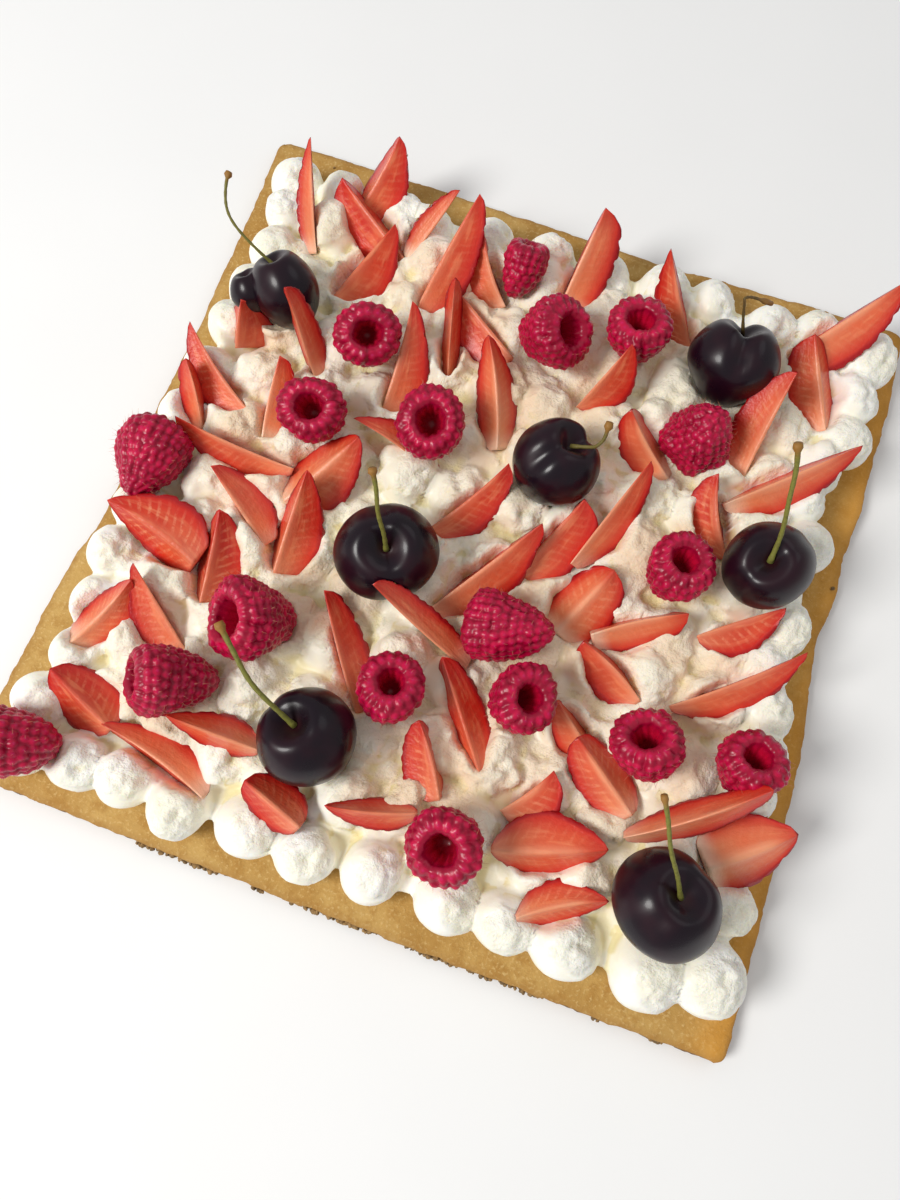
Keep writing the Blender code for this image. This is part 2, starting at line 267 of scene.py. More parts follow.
def set_out(tree, out, placed, material):
    """The last steps of every tree: real faces, smooth, in their material."""
    real = step(tree, "GeometryNodeRealizeInstances", {0: placed})
    smooth = step(tree, "GeometryNodeSetShadeSmooth", {0: real.outputs[0]})
    painted = step(tree, "GeometryNodeSetMaterial", {0: smooth.outputs[0], "Material": material})
    tree.links.new(painted.outputs[0], out[0])
    return tree


def as_made(piece):
    """The mesh that the piece's modifier makes. The piece itself goes."""
    made = piece.evaluated_get(bpy.context.evaluated_depsgraph_get())
    mesh = bpy.data.meshes.new_from_object(made)
    bpy.data.objects.remove(piece)
    return mesh


def scattered(name, places, tree):
    """What the tree makes on these points, which keep how each instance faces and runs."""
    points, *ways = zip(*places)
    mesh = bpy.data.meshes.new(name + "_places")
    mesh.from_pydata(points, [], [])
    for key, values in zip(("facing", "running", "size"), ways):
        kept = mesh.attributes.new(key, "FLOAT_VECTOR", "POINT")
        kept.data.foreach_set("vector", [part for value in values for part in value])
    holder = put_out(name, mesh)
    holder.modifiers.new(name, "NODES").node_group = tree
    mesh = as_made(holder)
    mesh.name = name
    return put_out(name, mesh)


def ease(values, low, high):
    """0 below low, 1 above high, smooth between."""
    share = np.clip((np.asarray(values, float) - low) / (high - low), 0, 1)
    return share * share * (3 - 2 * share)


def lumps(points, size, seed=0.0):
    """Smooth noise from -1 to 1 at each point, with lumps about size metres across."""
    shift = Vector((seed * 7.3, seed * 3.1, seed * 5.7))
    return np.array([noise.noise(Vector(p) / size + shift) for p in points])


sheet_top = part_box("pastry_base")[1].z
# how far each side stands from the middle, at places along it, in mm
front_side = ((-107, -111.2), (-60, -111.8), (40, -112), (104, -111.4))
right_side = ((-112, 107.2), (-58, 108), (-30, 107.6), (-19, 106.8), (-7, 105.5), (4, 104.4),
              (18, 106.8), (31, 106.1), (45, 107.7), (87, 108.4), (111, 107.8))
back_side = ((-107, 111.8), (-60, 111.8), (-35, 111.5), (0, 110.7), (25, 109.8), (50, 110.8),
             (85, 111.8), (107, 111.8))
left_side = ((-112, -106.8), (-57, -106.4), (-44, -105.6), (-36, -103.6), (35, -103.3),
             (57, -104), (110, -106.8))
sheet_width, sheet_depth = 216, 223
half_width, half_depth = 107.2, 111.4
puffed_x, puffed_y = 103, -107
# the torn side below the rim: how high each step is, as a share, and how far it stands out
torn_steps = ((0.72, 0.25), (0.45, 0.1), (0.2, 0.45), (0, 0.55))
sheet_cell = 1.15
# beside an edge the sheet's points stand at these distances from it
near_edge = (0, 0.25, 0.6, 1.1, 1.8, 2.8)
fine_border = 3.8
corner_round = 4.0


def side_reach(side, along):
    return np.interp(along, [a for a, _ in side], [r for _, r in side])


def spaced(length):
    """Places across the sheet, in shares, that lie closer together near its edges."""
    near = np.array(near_edge)
    cells = round((length - 2 * fine_border) / sheet_cell)
    middle = np.linspace(fine_border, length - fine_border, cells)
    return np.concatenate([near, middle, length - near[::-1]]) / length


def sheet_parts():
    across, deep = spaced(sheet_width), spaced(sheet_depth)
    u, v = np.meshgrid(across, deep, indexing="xy")
    front_x = half_width * (2 * u - 1)
    level_y = half_depth * (2 * v - 1)
    front, back = side_reach(front_side, front_x), side_reach(back_side, front_x)
    left, right = side_reach(left_side, level_y), side_reach(right_side, level_y)
    x = left + (right - left) * u
    y = front + (back - front) * v
    inset_x = np.minimum(u * (right - left), (1 - u) * (right - left))
    inset_y = np.minimum(v * (back - front), (1 - v) * (back - front))
    # the corners are rounded by drawing their points in to a quarter circle
    a = np.clip(1 - inset_x / corner_round, 0, 1)
    b = np.clip(1 - inset_y / corner_round, 0, 1)
    pull = np.maximum(a, b) / np.maximum(np.hypot(a, b), 1e-9)
    pull = np.where((a > 0) & (b > 0), pull, 1)
    x -= np.sign(u - 0.5) * corner_round * a * (1 - pull)
    y -= np.sign(v - 0.5) * corner_round * b * (1 - pull)
    inset = corner_round * (1 - np.where((a > 0) & (b > 0), np.maximum(a, b), 0))
    inset = np.where((a > 0) & (b > 0), inset, np.minimum(inset_x, inset_y))
    flat = np.stack([x.ravel(), y.ravel(), np.zeros(x.size)], 1)
    inset = inset.ravel()
    # the cut edge wanders and crumbles a little
    outward = np.stack([np.where(inset_x < inset_y, np.sign(u - 0.5), 0).ravel(),
                        np.where(inset_x < inset_y, 0, np.sign(v - 0.5)).ravel()], 1)
    ragged = 0.5 * lumps(flat, 5, 1) + 0.3 * lumps(flat, 1.7, 2)
    flat[:, :2] += outward * ((ragged - 0.45) * np.exp(-inset / 1.6))[:, None]
    height = (0.35 * lumps(flat, 28, 3) + 0.2 * lumps(flat, 9, 4) + 0.1 * lumps(flat, 2.6, 5)
              + 0.07 * lumps(flat, 1.3, 6) - 0.45 - 0.9 * np.exp(-inset / 0.7))
    # the corner at the front right has puffed up
    height += np.exp(-((flat[:, 0] - puffed_x) ** 2 + (flat[:, 1] - puffed_y) ** 2) / 40)
    flat[:, 2] = sheet_top / mm + height * ease(inset, -3, 2)
    top = flat * mm
    rows, columns = u.shape
    at = np.arange(rows * columns).reshape(rows, columns)
    faces = [(at[r, c], at[r, c + 1], at[r + 1, c + 1], at[r + 1, c])
             for r in range(rows - 1) for c in range(columns - 1)]
    rim = list(at[0, :-1]) + list(at[:-1, -1]) + list(at[-1, :0:-1]) + list(at[:0:-1, 0])
    points, inside = [top], [inset]
    last = np.array(rim)
    total = len(top)
    # the torn side goes down from the rim in four steps and stands out at the foot
    for level, stand in torn_steps:
        ring = top[rim].copy()
        out = ring[:, :2] / np.abs(ring[:, :2]).max(0)
        away = np.where((np.abs(out) > 0.93), np.sign(out), 0)
        torn = lumps(ring, 2.2 * mm, 8 + level) * 0.5 + lumps(ring, 5.5 * mm, 9 + level) * 0.45
        ring[:, :2] += away * ((stand + torn) * 0.8 * mm)[:, None]
        ring[:, 2] = (sheet_top - 1.2 * mm) * level
        points.append(ring)
        inside.append(np.full(len(ring), -1.0))
        here = total + np.arange(len(ring))
        faces += [(last[i], last[i - 1], here[i - 1], here[i]) for i in range(len(ring))]
        last, total = here, total + len(ring)
    faces.append(tuple(last))
    return [(np.concatenate(points), faces, {"inset": np.concatenate(inside)})]


def baked_finish():
    made, tree = finish("baked pastry", Specular_IOR_Level=0.28)
    place = step(tree, "ShaderNodeSeparateXYZ", {0: scaled(tree, own_place(tree), 1 / mm)}).outputs
    wide, fine, flour = grain(tree, 22, 3), grain(tree, 3.4, 4, 0.6), grain(tree, 0.9, 3, 0.6)
    # the strip along the right edge is painted more orange and lighter: partly real toasting,
    # partly painted light on a strip that the cream shades
    toasted_and_lit = between(tree, place["X"], 92, 108, 0, 0.7)
    browned = between(tree, mark(tree, "inset"), 3.0, -0.6, 0, 0.45)
    low = between(tree, place["Z"], 3.2, 1.0, 0, 0.85)
    colour = layered(tree, tint(196, 158, 92), (between(tree, wide, 0.35, 0.65), (180, 138, 72)),
                     (between(tree, fine, 0.42, 0.7, 0, 0.6), (166, 120, 56)),
                     (between(tree, flour, 0.52, 0.72, 0, 0.75), (214, 182, 122)),
                     (toasted_and_lit, (216, 150, 54)), (browned, (150, 104, 52)), (low, (120, 88, 58)))
    return wire(made, Base_Color=colour, Roughness=between(tree, fine, 0.3, 0.7, 0.72, 0.88),
                Normal=raised(tree, plus(tree, fine, times(tree, flour, 0.6)), 0.35))


settle(shape("pastry_sheet", sheet_parts(), baked_finish()), "baked_pastry", "pastry_base")

# where along the front crumbs cling under the torn edge, from x to x in mm, and how many
crumb_runs = ((-55, -47, 26), (-46, -31, 46), (-22, -18, 11), (-10, 14, 60), (22, 60, 84),
              (72, 76, 10), (88, 92, 9))
loose_crumbs = 40


def any_way(chance):
    return Vector([chance.uniform(-1, 1) for _ in range(3)])


def crumb_places():
    chance = random.Random(5)
    for start, end, number in crumb_runs:
        for _ in range(number):
            x = chance.uniform(start, end)
            y = side_reach(front_side, x) - chance.uniform(-0.5, 0.35)
            place = Vector((x, y, chance.uniform(1.05, 2.6))) * mm
            yield place, any_way(chance).normalized(), any_way(chance).normalized()
    for _ in range(loose_crumbs):
        x, y = chance.uniform(-104, 105), chance.uniform(-110, 109)
        if abs(x) > 100 or abs(y) > 104:
            place = Vector((x, y, sheet_top / mm - 0.1)) * mm
            yield place, any_way(chance).normalized(), any_way(chance).normalized()


def crumb_finish():
    made, tree = finish("crumbs", Specular_IOR_Level=0.2)
    colour = layered(tree, tint(164, 132, 88),
                     (between(tree, grain(tree, 1.6, 3), 0.35, 0.65), (112, 92, 66)))
    return wire(made, Base_Color=colour, Normal=raised(tree, grain(tree, 0.4, 3), 0.15),
                Roughness=between(tree, grain(tree, 0.8), 0.3, 0.7, 0.8, 0.95))


def crumb_tree(material):
    """Ragged crumbs, no two alike."""
    tree, given, out = geometry_tree("torn crumbs", Smallest=0.22 * mm, Largest=0.8 * mm,
                                     Raggedness=0.6 * mm, Seed=4)
    lump = step(tree, "GeometryNodeMeshIcoSphere", {"Radius": 1.0, "Subdivisions": 2})
    placed = on_points(tree, given, lump, chosen(tree, given, given["Smallest"], given["Largest"]))
    real = step(tree, "GeometryNodeRealizeInstances", {0: placed})
    rough = step(tree, "ShaderNodeTexNoise", {"Scale": 1100.0, "Detail": 1.0})
    centred = step(tree, "ShaderNodeVectorMath", {0: rough.outputs["Color"], 1: (0.5, 0.5, 0.5)},
                   operation="SUBTRACT")
    torn = step(tree, "GeometryNodeSetPosition", {0: real.outputs[0],
                "Offset": scaled(tree, centred.outputs[0], given["Raggedness"])})
    return set_out(tree, out, torn.outputs[0], material)


settle(scattered("pastry_crumbs", crumb_places(), crumb_tree(crumb_finish())), "baked_pastry")


# ------------------------------------------------------------------ the cream
# Whipped cream, piped from a round nozzle in rows of dollops that touch. Where the nozzle
# pulled away each dollop has a torn top, and under the fruit the cream has run together.

sheet_gap = 0.3 * mm
cream_floor = sheet_top + sheet_gap
# the dollops round the edge, x, y and width in mm, as they were piped by hand
edge_dollops = (
    (-90, -99, 16), (-75, -97.6, 16), (-61.2, -97, 15.8), (-45.5, -98.9, 16.6),
    (-26, -97.2, 17.4), (-10.1, -98.6, 16.2), (7.5, -96.7, 16.6), (27.9, -96.8, 17.4),
    (43.1, -96.7, 17), (58.9, -97.1, 17.8), (79.9, -95, 20.6), (94.5, -92.1, 19.6),
    (95.4, -75, 14.5), (94, -61, 16), (93, -46, 15.5), (92, -35, 16.5), (91.5, -23.6, 16.5),
    (88.5, -11, 15.5), (90.5, 1.2, 16.5), (86.5, 11, 15), (91, 26, 16.5), (86, 40, 16),
    (88.5, 51, 16), (93.5, 62, 17), (93, 76, 17), (94.8, 91, 18.5), (79, 94.8, 15.5),
    (64.5, 91.5, 15.5), (45.6, 93.7, 15.5), (30.5, 92.9, 17), (11.2, 92.4, 15),
    (-6.5, 92.8, 15), (-25.2, 90.7, 15.5), (-44.5, 89, 15), (-54.5, 90.5, 16),
    (-66, 88.5, 14.5), (-75.2, 91, 15.5), (-91, 90.8, 16), (-88.6, 79, 15), (-88, 65, 15),
    (-88.6, 50, 15.5), (-88.8, 36, 15), (-89.6, 20, 15.5), (-90.2, 4, 15.5), (-90, -12, 15),
    (-90, -27, 15.5), (-91, -42, 15), (-89, -56.5, 15), (-87.6, -71, 15), (-91, -85.6, 15.5),
)
inner_rows, inner_columns = 10, 10
first_inner, last_inner = Vector((-73, -80.5)) * mm, Vector((77, 78)) * mm
dollop_height = 15 * mm
# the cream between the dollops fills two beds: corner, opposite corner and thickness, in mm
cream_beds = (((-91, -99), (92, 95), 6.5), ((-74, -82), (80, 80), 9))
cream_voxel = 1.01 * mm
curd_number = 620
# a dollop's globe has its middle at this share of its height
waist = 0.44
# how far from the nozzle's way off, as an angle, a torn top reaches
tear_reach = 0.95
brim_rounds = 3


def ball(columns, rows):
    """Points and faces of a unit globe."""
    points, faces = [(0, 0, 1)], []
    for row in range(1, rows):
        lean = math.pi * row / rows
        points += [(math.sin(lean) * math.cos(2 * math.pi * c / columns),
                    math.sin(lean) * math.sin(2 * math.pi * c / columns), math.cos(lean))
                   for c in range(columns)]
    points.append((0, 0, -1))
    for c in range(columns):
        after = (c + 1) % columns
        faces.append((0, 1 + c, 1 + after))
        for row in range(rows - 2):
            a, b = 1 + row * columns, 1 + (row + 1) * columns
            faces.append((a + c, b + c, b + after, a + after))
        last = 1 + (rows - 2) * columns
        faces.append((last + c, len(points) - 1, last + after))
    return np.array(points), faces


def dollop_places():
    """x, y, radius and height of each dollop, in metres."""
    chance = random.Random(7)
    for x, y, width in edge_dollops:
        yield x * mm, y * mm, width / 2 * mm, dollop_height * (0.55 + 0.45 * width / 16.5)
    reach = last_inner - first_inner
    for row in range(inner_rows):
        for column in range(inner_columns):
            size = 1 + chance.uniform(-0.1, 0.1)
            x = first_inner.x + reach.x * column / (inner_columns - 1) + chance.uniform(-2, 2) * mm
            y = first_inner.y + reach.y * row / (inner_rows - 1) + chance.uniform(-2, 2) * mm
            yield x, y, 9.2 * mm * size, dollop_height * size


def top_at(x, y):
    """How high the dollops stand at a place."""
    height = cream_floor + 10 * mm
    for middle_x, middle_y, radius, tall in dollop_places():
        off = math.hypot(x - middle_x, y - middle_y) / radius
        if off < 1:
            height = max(height, cream_floor + tall * (waist + 0.56 * math.sqrt(1 - off * off)))
    return height


def curds():
    """Places and radii of the small lumps into which the cream's surface is broken."""
    chance = random.Random(11)
    for _ in range(curd_number):
        x, y = chance.uniform(-84, 92) * mm, chance.uniform(-90, 92) * mm
        radius = chance.uniform(1.8, 4.6) * mm
        if noise.noise(Vector((x, y, 0)) / (16 * mm)) > -0.28:
            yield x, y, top_at(x, y) - radius * chance.uniform(0.3, 0.75), radius


def torn_way(number):
    """The direction from a dollop's middle in which the nozzle tore it."""
    aside, ahead = 0.45 + 0.25 * math.sin(number * 2.1), 0.25 * math.sin(number * 3.7)
    return Vector((aside, ahead, 1)).normalized()


def piped_cream():
    globe, globe_faces = ball(28, 18)
    small_globe, small_faces = ball(12, 8)
    parts = []
    for number, (x, y, radius, height) in enumerate(dollop_places()):
        turned = globe @ np.array(Matrix.Rotation(number * 2.4, 3, "Z"))
        stretch = 1 + 0.05 * math.sin(number * 1.7)
        points = turned * (radius * stretch, radius / stretch, height * 0.56)
        points += np.array((x, y, cream_floor + height * waist))
        points += turned * (lumps(points, 9 * mm, number) * 0.7 * mm)[:, None]
        parts.append((points, globe_faces, {}))
    for number, (x, y, z, radius) in enumerate(curds()):
        turned = small_globe @ np.array(Matrix.Rotation(number * 1.3, 3, "X"))
        parts.append((turned * radius * (1.1, 1.1, 0.85) + (x, y, z), small_faces, {}))
    box_faces = [(0, 3, 2, 1), (4, 5, 6, 7)]
    box_faces += [(i, (i + 1) % 4, (i + 1) % 4 + 4, i + 4) for i in range(4)]
    for first, last, thick in cream_beds:
        low, high = Vector(first) * mm, Vector(last) * mm
        bed = [(x, y, z) for z in (cream_floor - 4 * mm, cream_floor + thick * mm)
               for x, y in ((low.x, low.y), (high.x, low.y), (high.x, high.y), (low.x, high.y))]
        parts.append((bed, box_faces, {}))
    return parts


def run_together(piece, voxel):
    """The piece's parts melted into one skin."""
    remesh = piece.modifiers.new("run together", "REMESH")
    remesh.mode = "VOXEL"
    remesh.voxel_size = voxel
    return as_made(piece)


def skinned(name, mesh, material):
    """The melted mesh as a piece, smooth and all in one material."""
    mesh.name = name
    mesh.materials.clear()
    mesh.materials.append(material)
    mesh.polygons.foreach_set("material_index", [0] * len(mesh.polygons))
    mesh.shade_smooth()
    return put_out(name, mesh)


def smoothed(bm, verts, rounds):
    for _ in range(rounds):
        bmesh.ops.smooth_vert(bm, verts=verts, factor=0.5,
                              use_axis_x=True, use_axis_y=True, use_axis_z=True)


def nearest(places):
    """A tree that finds the nearest of these places."""
    tree = KDTree(len(places))
    for number, place in enumerate(places):
        tree.insert(place, number)
    tree.balance()
    return tree


def of_vertices(mesh, what):
    """The vertices' places or normals, one row each."""
    values = np.zeros(len(mesh.vertices) * 3, np.float32)
    mesh.vertices.foreach_get(what, values)
    return values.reshape(-1, 3).astype(float)


def fruit_above():
    """The pieces of fruit as one tree of faces, to press into the cream."""
    bm = bmesh.new()
    for name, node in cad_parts.items():
        if name not in ("pastry_base", "cream"):
            bm.from_mesh(node.data)
    return BVHTree.FromBMesh(bm)


def torn_and_lumpy(points, normals):
    """The skin with its torn tops and lumps, and how torn and how far inside each point is."""
    dollops = list(dollop_places())
    under = nearest([(x, y, 0) for x, y, _, _ in dollops])
    order = np.array([under.find((x, y, 0))[1] for x, y, _ in points])
    middles = np.array([(x, y, cream_floor + height * waist) for x, y, _, height in dollops])
    ways = np.array([torn_way(number) for number in range(len(dollops))])
    outward = points - middles[order]
    outward /= np.maximum(np.linalg.norm(outward, axis=1), 1e-9)[:, None]
    off_tear = np.arccos(np.clip((outward * ways[order]).sum(1), -1, 1))
    off_tear += 0.28 * lumps(points, 3.5 * mm, 9)
    edge = np.minimum.reduce([points[:, 0] + 90 * mm, 93 * mm - points[:, 0],
                              points[:, 1] + 96 * mm, 93 * mm - points[:, 1]])
    inside = ease(edge, 4 * mm, 18 * mm)
    upper = ease(points[:, 2], cream_floor + 4 * mm, cream_floor + 9 * mm)

    torn = ease(off_tear, tear_reach, 0.65)
    torn = np.maximum(torn, inside * ease(lumps(points, 8 * mm, 12), -0.25, 0.15)) * upper
    fine, curd = lumps(points, 1.5 * mm, 1), lumps(points, 2.7 * mm, 2)
    lump = lumps(points, 5 * mm, 5)
    move = torn * (0.5 * fine + 1.05 * curd - 0.25)
    # each torn patch has a raised brim, and most have a pit where the nozzle left them
    move += 0.45 * np.exp(-((off_tear - tear_reach) / 0.18) ** 2) * upper * (1 - inside)
    move -= 1.6 * np.exp(-(off_tear / 0.22) ** 2) * (np.sin(order * 2.9) > -0.3) * upper
    move += (0.5 * lump + 0.4 * lumps(points, 8 * mm, 3)) * (0.25 + 0.75 * inside) * upper
    return points + normals * (move * mm)[:, None], torn, inside


def pressed(points):
    """Lowers the points that the fruit presses down, and tells which they are."""
    above = fruit_above()
    up = Vector((0, 0, 1))
    hidden = np.zeros(len(points))
    for number, (x, y, z) in enumerate(points.copy()):
        if z < cream_floor + 1.5 * mm:
            continue
        hit = above.ray_cast(Vector((x, y, cream_floor)), up)[0]
        if hit is not None:
            points[number, 2] = min(z, max(hit.z + 0.25 * mm, cream_floor + mm))
            hidden[number] = 1
    return hidden


def cut_at_floor(bm):
    """Takes away what lies under the cream's floor and closes the cream there."""
    below = [v for v in bm.verts if v.co.z < cream_floor - 0.5 * cream_voxel]
    bmesh.ops.delete(bm, geom=below, context="VERTS")
    rim = {v for e in bm.edges if e.is_boundary for v in e.verts}
    for vert in rim:
        vert.co.z = cream_floor
    bmesh.ops.holes_fill(bm, edges=[e for e in bm.edges if e.is_boundary], sides=0)
    bmesh.ops.recalc_face_normals(bm, faces=bm.faces)


def how_deep(places):
    """How deep each place lies under the cream round it, in mm, for the painted shade in the
    creases.
    """
    cell = 5 * mm
    keys = np.floor((places[:, :2] + 0.12) / cell).astype(int)
    total, number = np.zeros(keys.max(0) + 2), np.zeros(keys.max(0) + 2)
    np.add.at(total, (keys[:, 0], keys[:, 1]), places[:, 2])
    np.add.at(number, (keys[:, 0], keys[:, 1]), 1)
    mean = total / np.maximum(number, 1)
    return (mean[keys[:, 0], keys[:, 1]] - places[:, 2]) / mm


def make_cream(material):
    mesh = run_together(shape("dollops", piped_cream(), material), cream_voxel)
    points, torn, inside = torn_and_lumpy(of_vertices(mesh, "co"), of_vertices(mesh, "normal"))
    hidden = pressed(points)
    mesh.vertices.foreach_set("co", points.astype(np.float32).ravel())
    bm = bmesh.new()
    bm.from_mesh(mesh)
    # the pressed places' brims are softened
    brims = {v for e in bm.edges if hidden[e.verts[0].index] != hidden[e.verts[1].index]
             for v in e.verts}
    brims |= {e.other_vert(v) for v in brims for e in v.link_edges}
    smoothed(bm, list(brims), brim_rounds)
    cut_at_floor(bm)
    before = nearest(points)
    first = [before.find(v.co)[1] for v in bm.verts]
    bm.verts.ensure_lookup_table()
    depth = how_deep(np.array([v.co for v in bm.verts]))
    bm.to_mesh(mesh)
    bm.free()
    keep_marks(mesh, {"depth": depth, "inside": inside[first], "torn": torn[first]})
    return skinned("piped_cream", mesh, material)


def cream_finish():
    made, tree = finish("whipped cream", Specular_IOR_Level=0.4, Subsurface_Weight=0.25,
                        Subsurface_Scale=0.004, Subsurface_Radius=(1, 0.8, 0.5))
    fine, curd, wide = grain(tree, 0.7, 3, 0.6), grain(tree, 1.8, 3, 0.6), grain(tree, 14, 2)
    torn, inside = mark(tree, "torn"), mark(tree, "inside")
    # pinkish-beige patches here and there in the inner cream
    pinkish_patches = times(tree, between(tree, grain(tree, 26, 2), 0.44, 0.66, 0, 0.75), inside)
    # painted shade: a darker yellowish tint over the grain of the torn tops, for the shade in their
    # pits
    pit_shade = times(tree, between(tree, curd, 0.56, 0.74), torn, 0.3)
    colour = layered(tree, tint(254, 252, 242), (between(tree, wide, 0.35, 0.65), (251, 246, 228)),
                     # painted bounce light and shade: the inner cream is painted warmer and darker,
                     # as the fruit round it tints and shades it
                     (times(tree, inside, 0.5), (244, 232, 204)), (pinkish_patches, (236, 208, 176)),
                     # painted shade: darker and yellower the deeper a place lies in a crease
                     (between(tree, mark(tree, "depth"), 0.0, 2.8, 0, 0.65), (228, 212, 140)),
                     (pit_shade, (232, 222, 176)))
    grainy = times(tree, plus(tree, times(tree, fine, 0.35), curd),
                   between(tree, torn, 0.0, 1.0, 0.12, 1.0))
    return wire(made, Base_Color=colour, Roughness=between(tree, torn, 0.0, 1.0, 0.36, 0.6),
                Normal=raised(tree, grainy, 0.8, 0.9))


settle(make_cream(cream_finish()), "cream", "cream")


# ------------------------------------------------------------------ the strawberry slices
# Ripe strawberries, hulled and cut lengthwise into wedges. Each wedge has two moist cut faces
# with a pale core and rays out to the seeds, and a glossy red skin pitted with seeds.

# As in the frame: x, y, z of the stalk end, heading and lean of the line from there to the
# tip, length, the berry's radius, the turn about that line, the wedge's angle, the trim in %;
# then, from 0 to 9, how blunt the tip is, how pale the flesh is and how clear its rays are
slices = (
    ((-74, 67, 15, 110, 40, 32, 7, -30, 55, 8, 1, 6, 0),),
    ((-68, 86, 15, 66, 38, 25, 11, 5, 95, 12, 3, 2, 2),
     (-48, 74, 17, 150, 15, 30, 12, -5, 75, 5, 8, 2, 3),
     (-63, 54, 17, 66, 16, 28, 13, 10, 75, 8, 2, 2, 1),
     (-46, 74, 16, 65, 30, 25, 6, -80, 55, 8, 3, 8, 0)),
    ((-38, 58, 17, 75, 28, 37, 11, 25, 75, 8, 3, 3, 1),
     (-13, 69, 16, 132, 30, 21, 11, -15, 70, 8, 9, 5, 3)),
    ((-5, 52, 18, 150, 10, 29, 11, -20, 60, 5, 5, 3, 3),
     (-21, 39, 16, 105, 30, 29, 10, 0, 40, 14, 9, 3, 2)),
    ((2, 74, 15, 80, 39, 31, 11, 25, 75, 14, 9, 7, 1),),
    ((44, 75, 15, 135, 40, 30, 9, 0, 70, 8, 0, 4, 6),),
    ((71, 81, 17, 45, 30, 37, 12, 20, 80, 8, 2, 6, 1),
     (88, 62, 16, 120, 22, 28, 11, 0, 90, 2, 7, 5, 5)),
    ((-57, 25, 17, 131, 52, 28, 8, 25, 60, 10, 7, 5, 0),),
    ((-36, 23, 16, 90, 30, 32, 11, 30, 65, 10, 2, 4, 2),),
    ((-82, 0, 16, 120, 35, 20, 8, -20, 55, 10, 7, 4, 1),
     (-72, 10, 17, 145, 20, 29, 10, -30, 60, 8, 1, 3, 4)),
    ((-65, 3, 16, 92, 30, 24, 9, 20, 70, 8, 6, 7, 1),),
    ((0, 22, 19, 115, 20, 32, 10, 5, 75, 8, 3, 7, 3),),
    ((17, 43, 18, 57, 46, 24, 11, 15, 60, 3, 1, 3, 2),),
    ((69, 39, 16, 86, 40, 32, 11, -30, 60, 8, 3, 5, 4),),
    ((-52, -3, 18, 180, 15, 35, 10, -10, 55, 3, 3, 4, 3),
     (-51, -13, 18, 55, 20, 28, 12, 0, 110, 5, 2, 6, 4),
     (-46, -33, 16, 87, 28, 30, 12, 10, 80, 14, 1, 3, 3),
     (-51, -27, 17, 145, 20, 26, 11, 35, 55, 8, 3, 5, 1)),
    ((49, 31, 17, 145, 25, 23, 10, 5, 80, 8, 6, 6, 2),),
    ((65, 28, 19, 40, 15, 40, 11, 10, 65, 3, 1, 7, 0),
     (71, 14, 16, 120, 25, 24, 11, -10, 70, 3, 4, 3, 7)),
    ((-10, -6, 17, 55, 20, 28, 10, 25, 65, 8, 6, 2, 3),),
    ((-66, -39, 20, 165, 15, 28, 12, 30, 110, 10, 1, 1, 8),
     (-61, -48, 17, 96, 20, 26, 12, 5, 75, 8, 3, 2, 6)),
    ((30, -3, 18, 70, 20, 35, 10, 25, 50, 5, 3, 5, 0),
     (17, -10, 17, 65, 20, 27, 12, 25, 75, 5, 9, 3, 2),
     (-2, -28, 17, 54, 18, 38, 13, 15, 65, 5, 2, 5, 0)),
    ((13, -41, 19, 163, 32, 35, 8, 45, 55, 5, 7, 5, 0),),
    ((-89, -70, 17, 60, 20, 25, 10, -10, 85, 8, 1, 6, 6),
     (-59, -61, 16, 141, 24, 27, 10, -40, 65, 8, 1, 4, 4)),
    ((-10, -62, 17, 125, 15, 34, 10, 25, 60, 8, 7, 3, 1),),
    ((32, -23, 18, 65, 15, 23, 11, 5, 110, 8, 9, 7, 6),
     (41, -21, 21, 30, 10, 26, 10, 10, 60, 8, 8, 8, 1),
     (59, -33, 18, 155, 11, 22, 10, -10, 75, 2, 7, 4, 2)),
    ((68, -11, 19, 35, 15, 24, 10, 30, 65, 3, 1, 3, 5),),
    ((66, -32, 20, 40, 10, 38, 10, 25, 60, 3, 1, 4, 0),),
    ((-68, -87, 18, 155, 15, 22, 11, 5, 95, 3, 4, 1, 4),
     (-39, -95, 17, 165, 3, 33, 9, 25, 75, 3, 2, 6, 0)),
    ((25, -65, 19, 128, 10, 31, 9, 20, 75, 2, 6, 1, 0),),
    ((52, -51, 17, 145, 15, 18, 9, -10, 75, 8, 3, 6, 4),
     (65, -62, 19, 145, 8, 24, 9, 0, 110, 2, 7, 5, 5)),
    ((33, -72, 19, 55, 10, 17, 10, 40, 70, 5, 7, 4, 5),
     (34, -82, 20, 20, 5, 29, 11, -20, 110, 1, 1, 4, 2)),
    ((64, -68, 21, 38, 26, 38, 9, 0, 60, 3, 5, 5, 0),),
    ((86, -68, 21, 40, 5, 24, 12, -15, 120, 10, 2, 8, 0),),
    ((45, -95, 20, 30, 5, 23, 8, -10, 90, 2, 1, 5, 5),),
)
further_slices = (
    (-82, 25.5, 20, 92, 42, 14, 16, 0, 62, 24, 2, 2, 2),
    (-13, 9, 16, 170, 20, 29, 9, 50, 45, 3, 1, 4, 2),
    (-29, -79, 23, 180, 10, 25, 9, 10, 70, 5, 0, 4, 1),
    (18, -75, 20, 125, 14, 21, 10, -20, 75, 5, 3, 3, 6),
    (-12, -93, 23.5, 160, 12, 18, 9, 5, 90, 3, 7, 3, 3),
    (14, -80, 24, -165, 5, 23, 8, 0, 65, 2, 1, 3, 1),
)
seed_spacing = 2.7
notch = 0.95
cut_steps = 9


def turn_about(axis, degrees):
    return Matrix.Rotation(math.radians(degrees), 3, axis)


def pointing(heading, lean):
    """The turn that lays local +Z along a heading, raised by lean, both in degrees."""
    return turn_about("Z", heading) @ turn_about("Y", 90 - lean)


def hoops(rings, around):
    """The faces between rings of points, each ring after the one before."""
    return [(i * around + j, i * around + (j + 1) % around, (i + 1) * around + (j + 1) % around,
             (i + 1) * around + j) for i in range(rings) for j in range(around)]


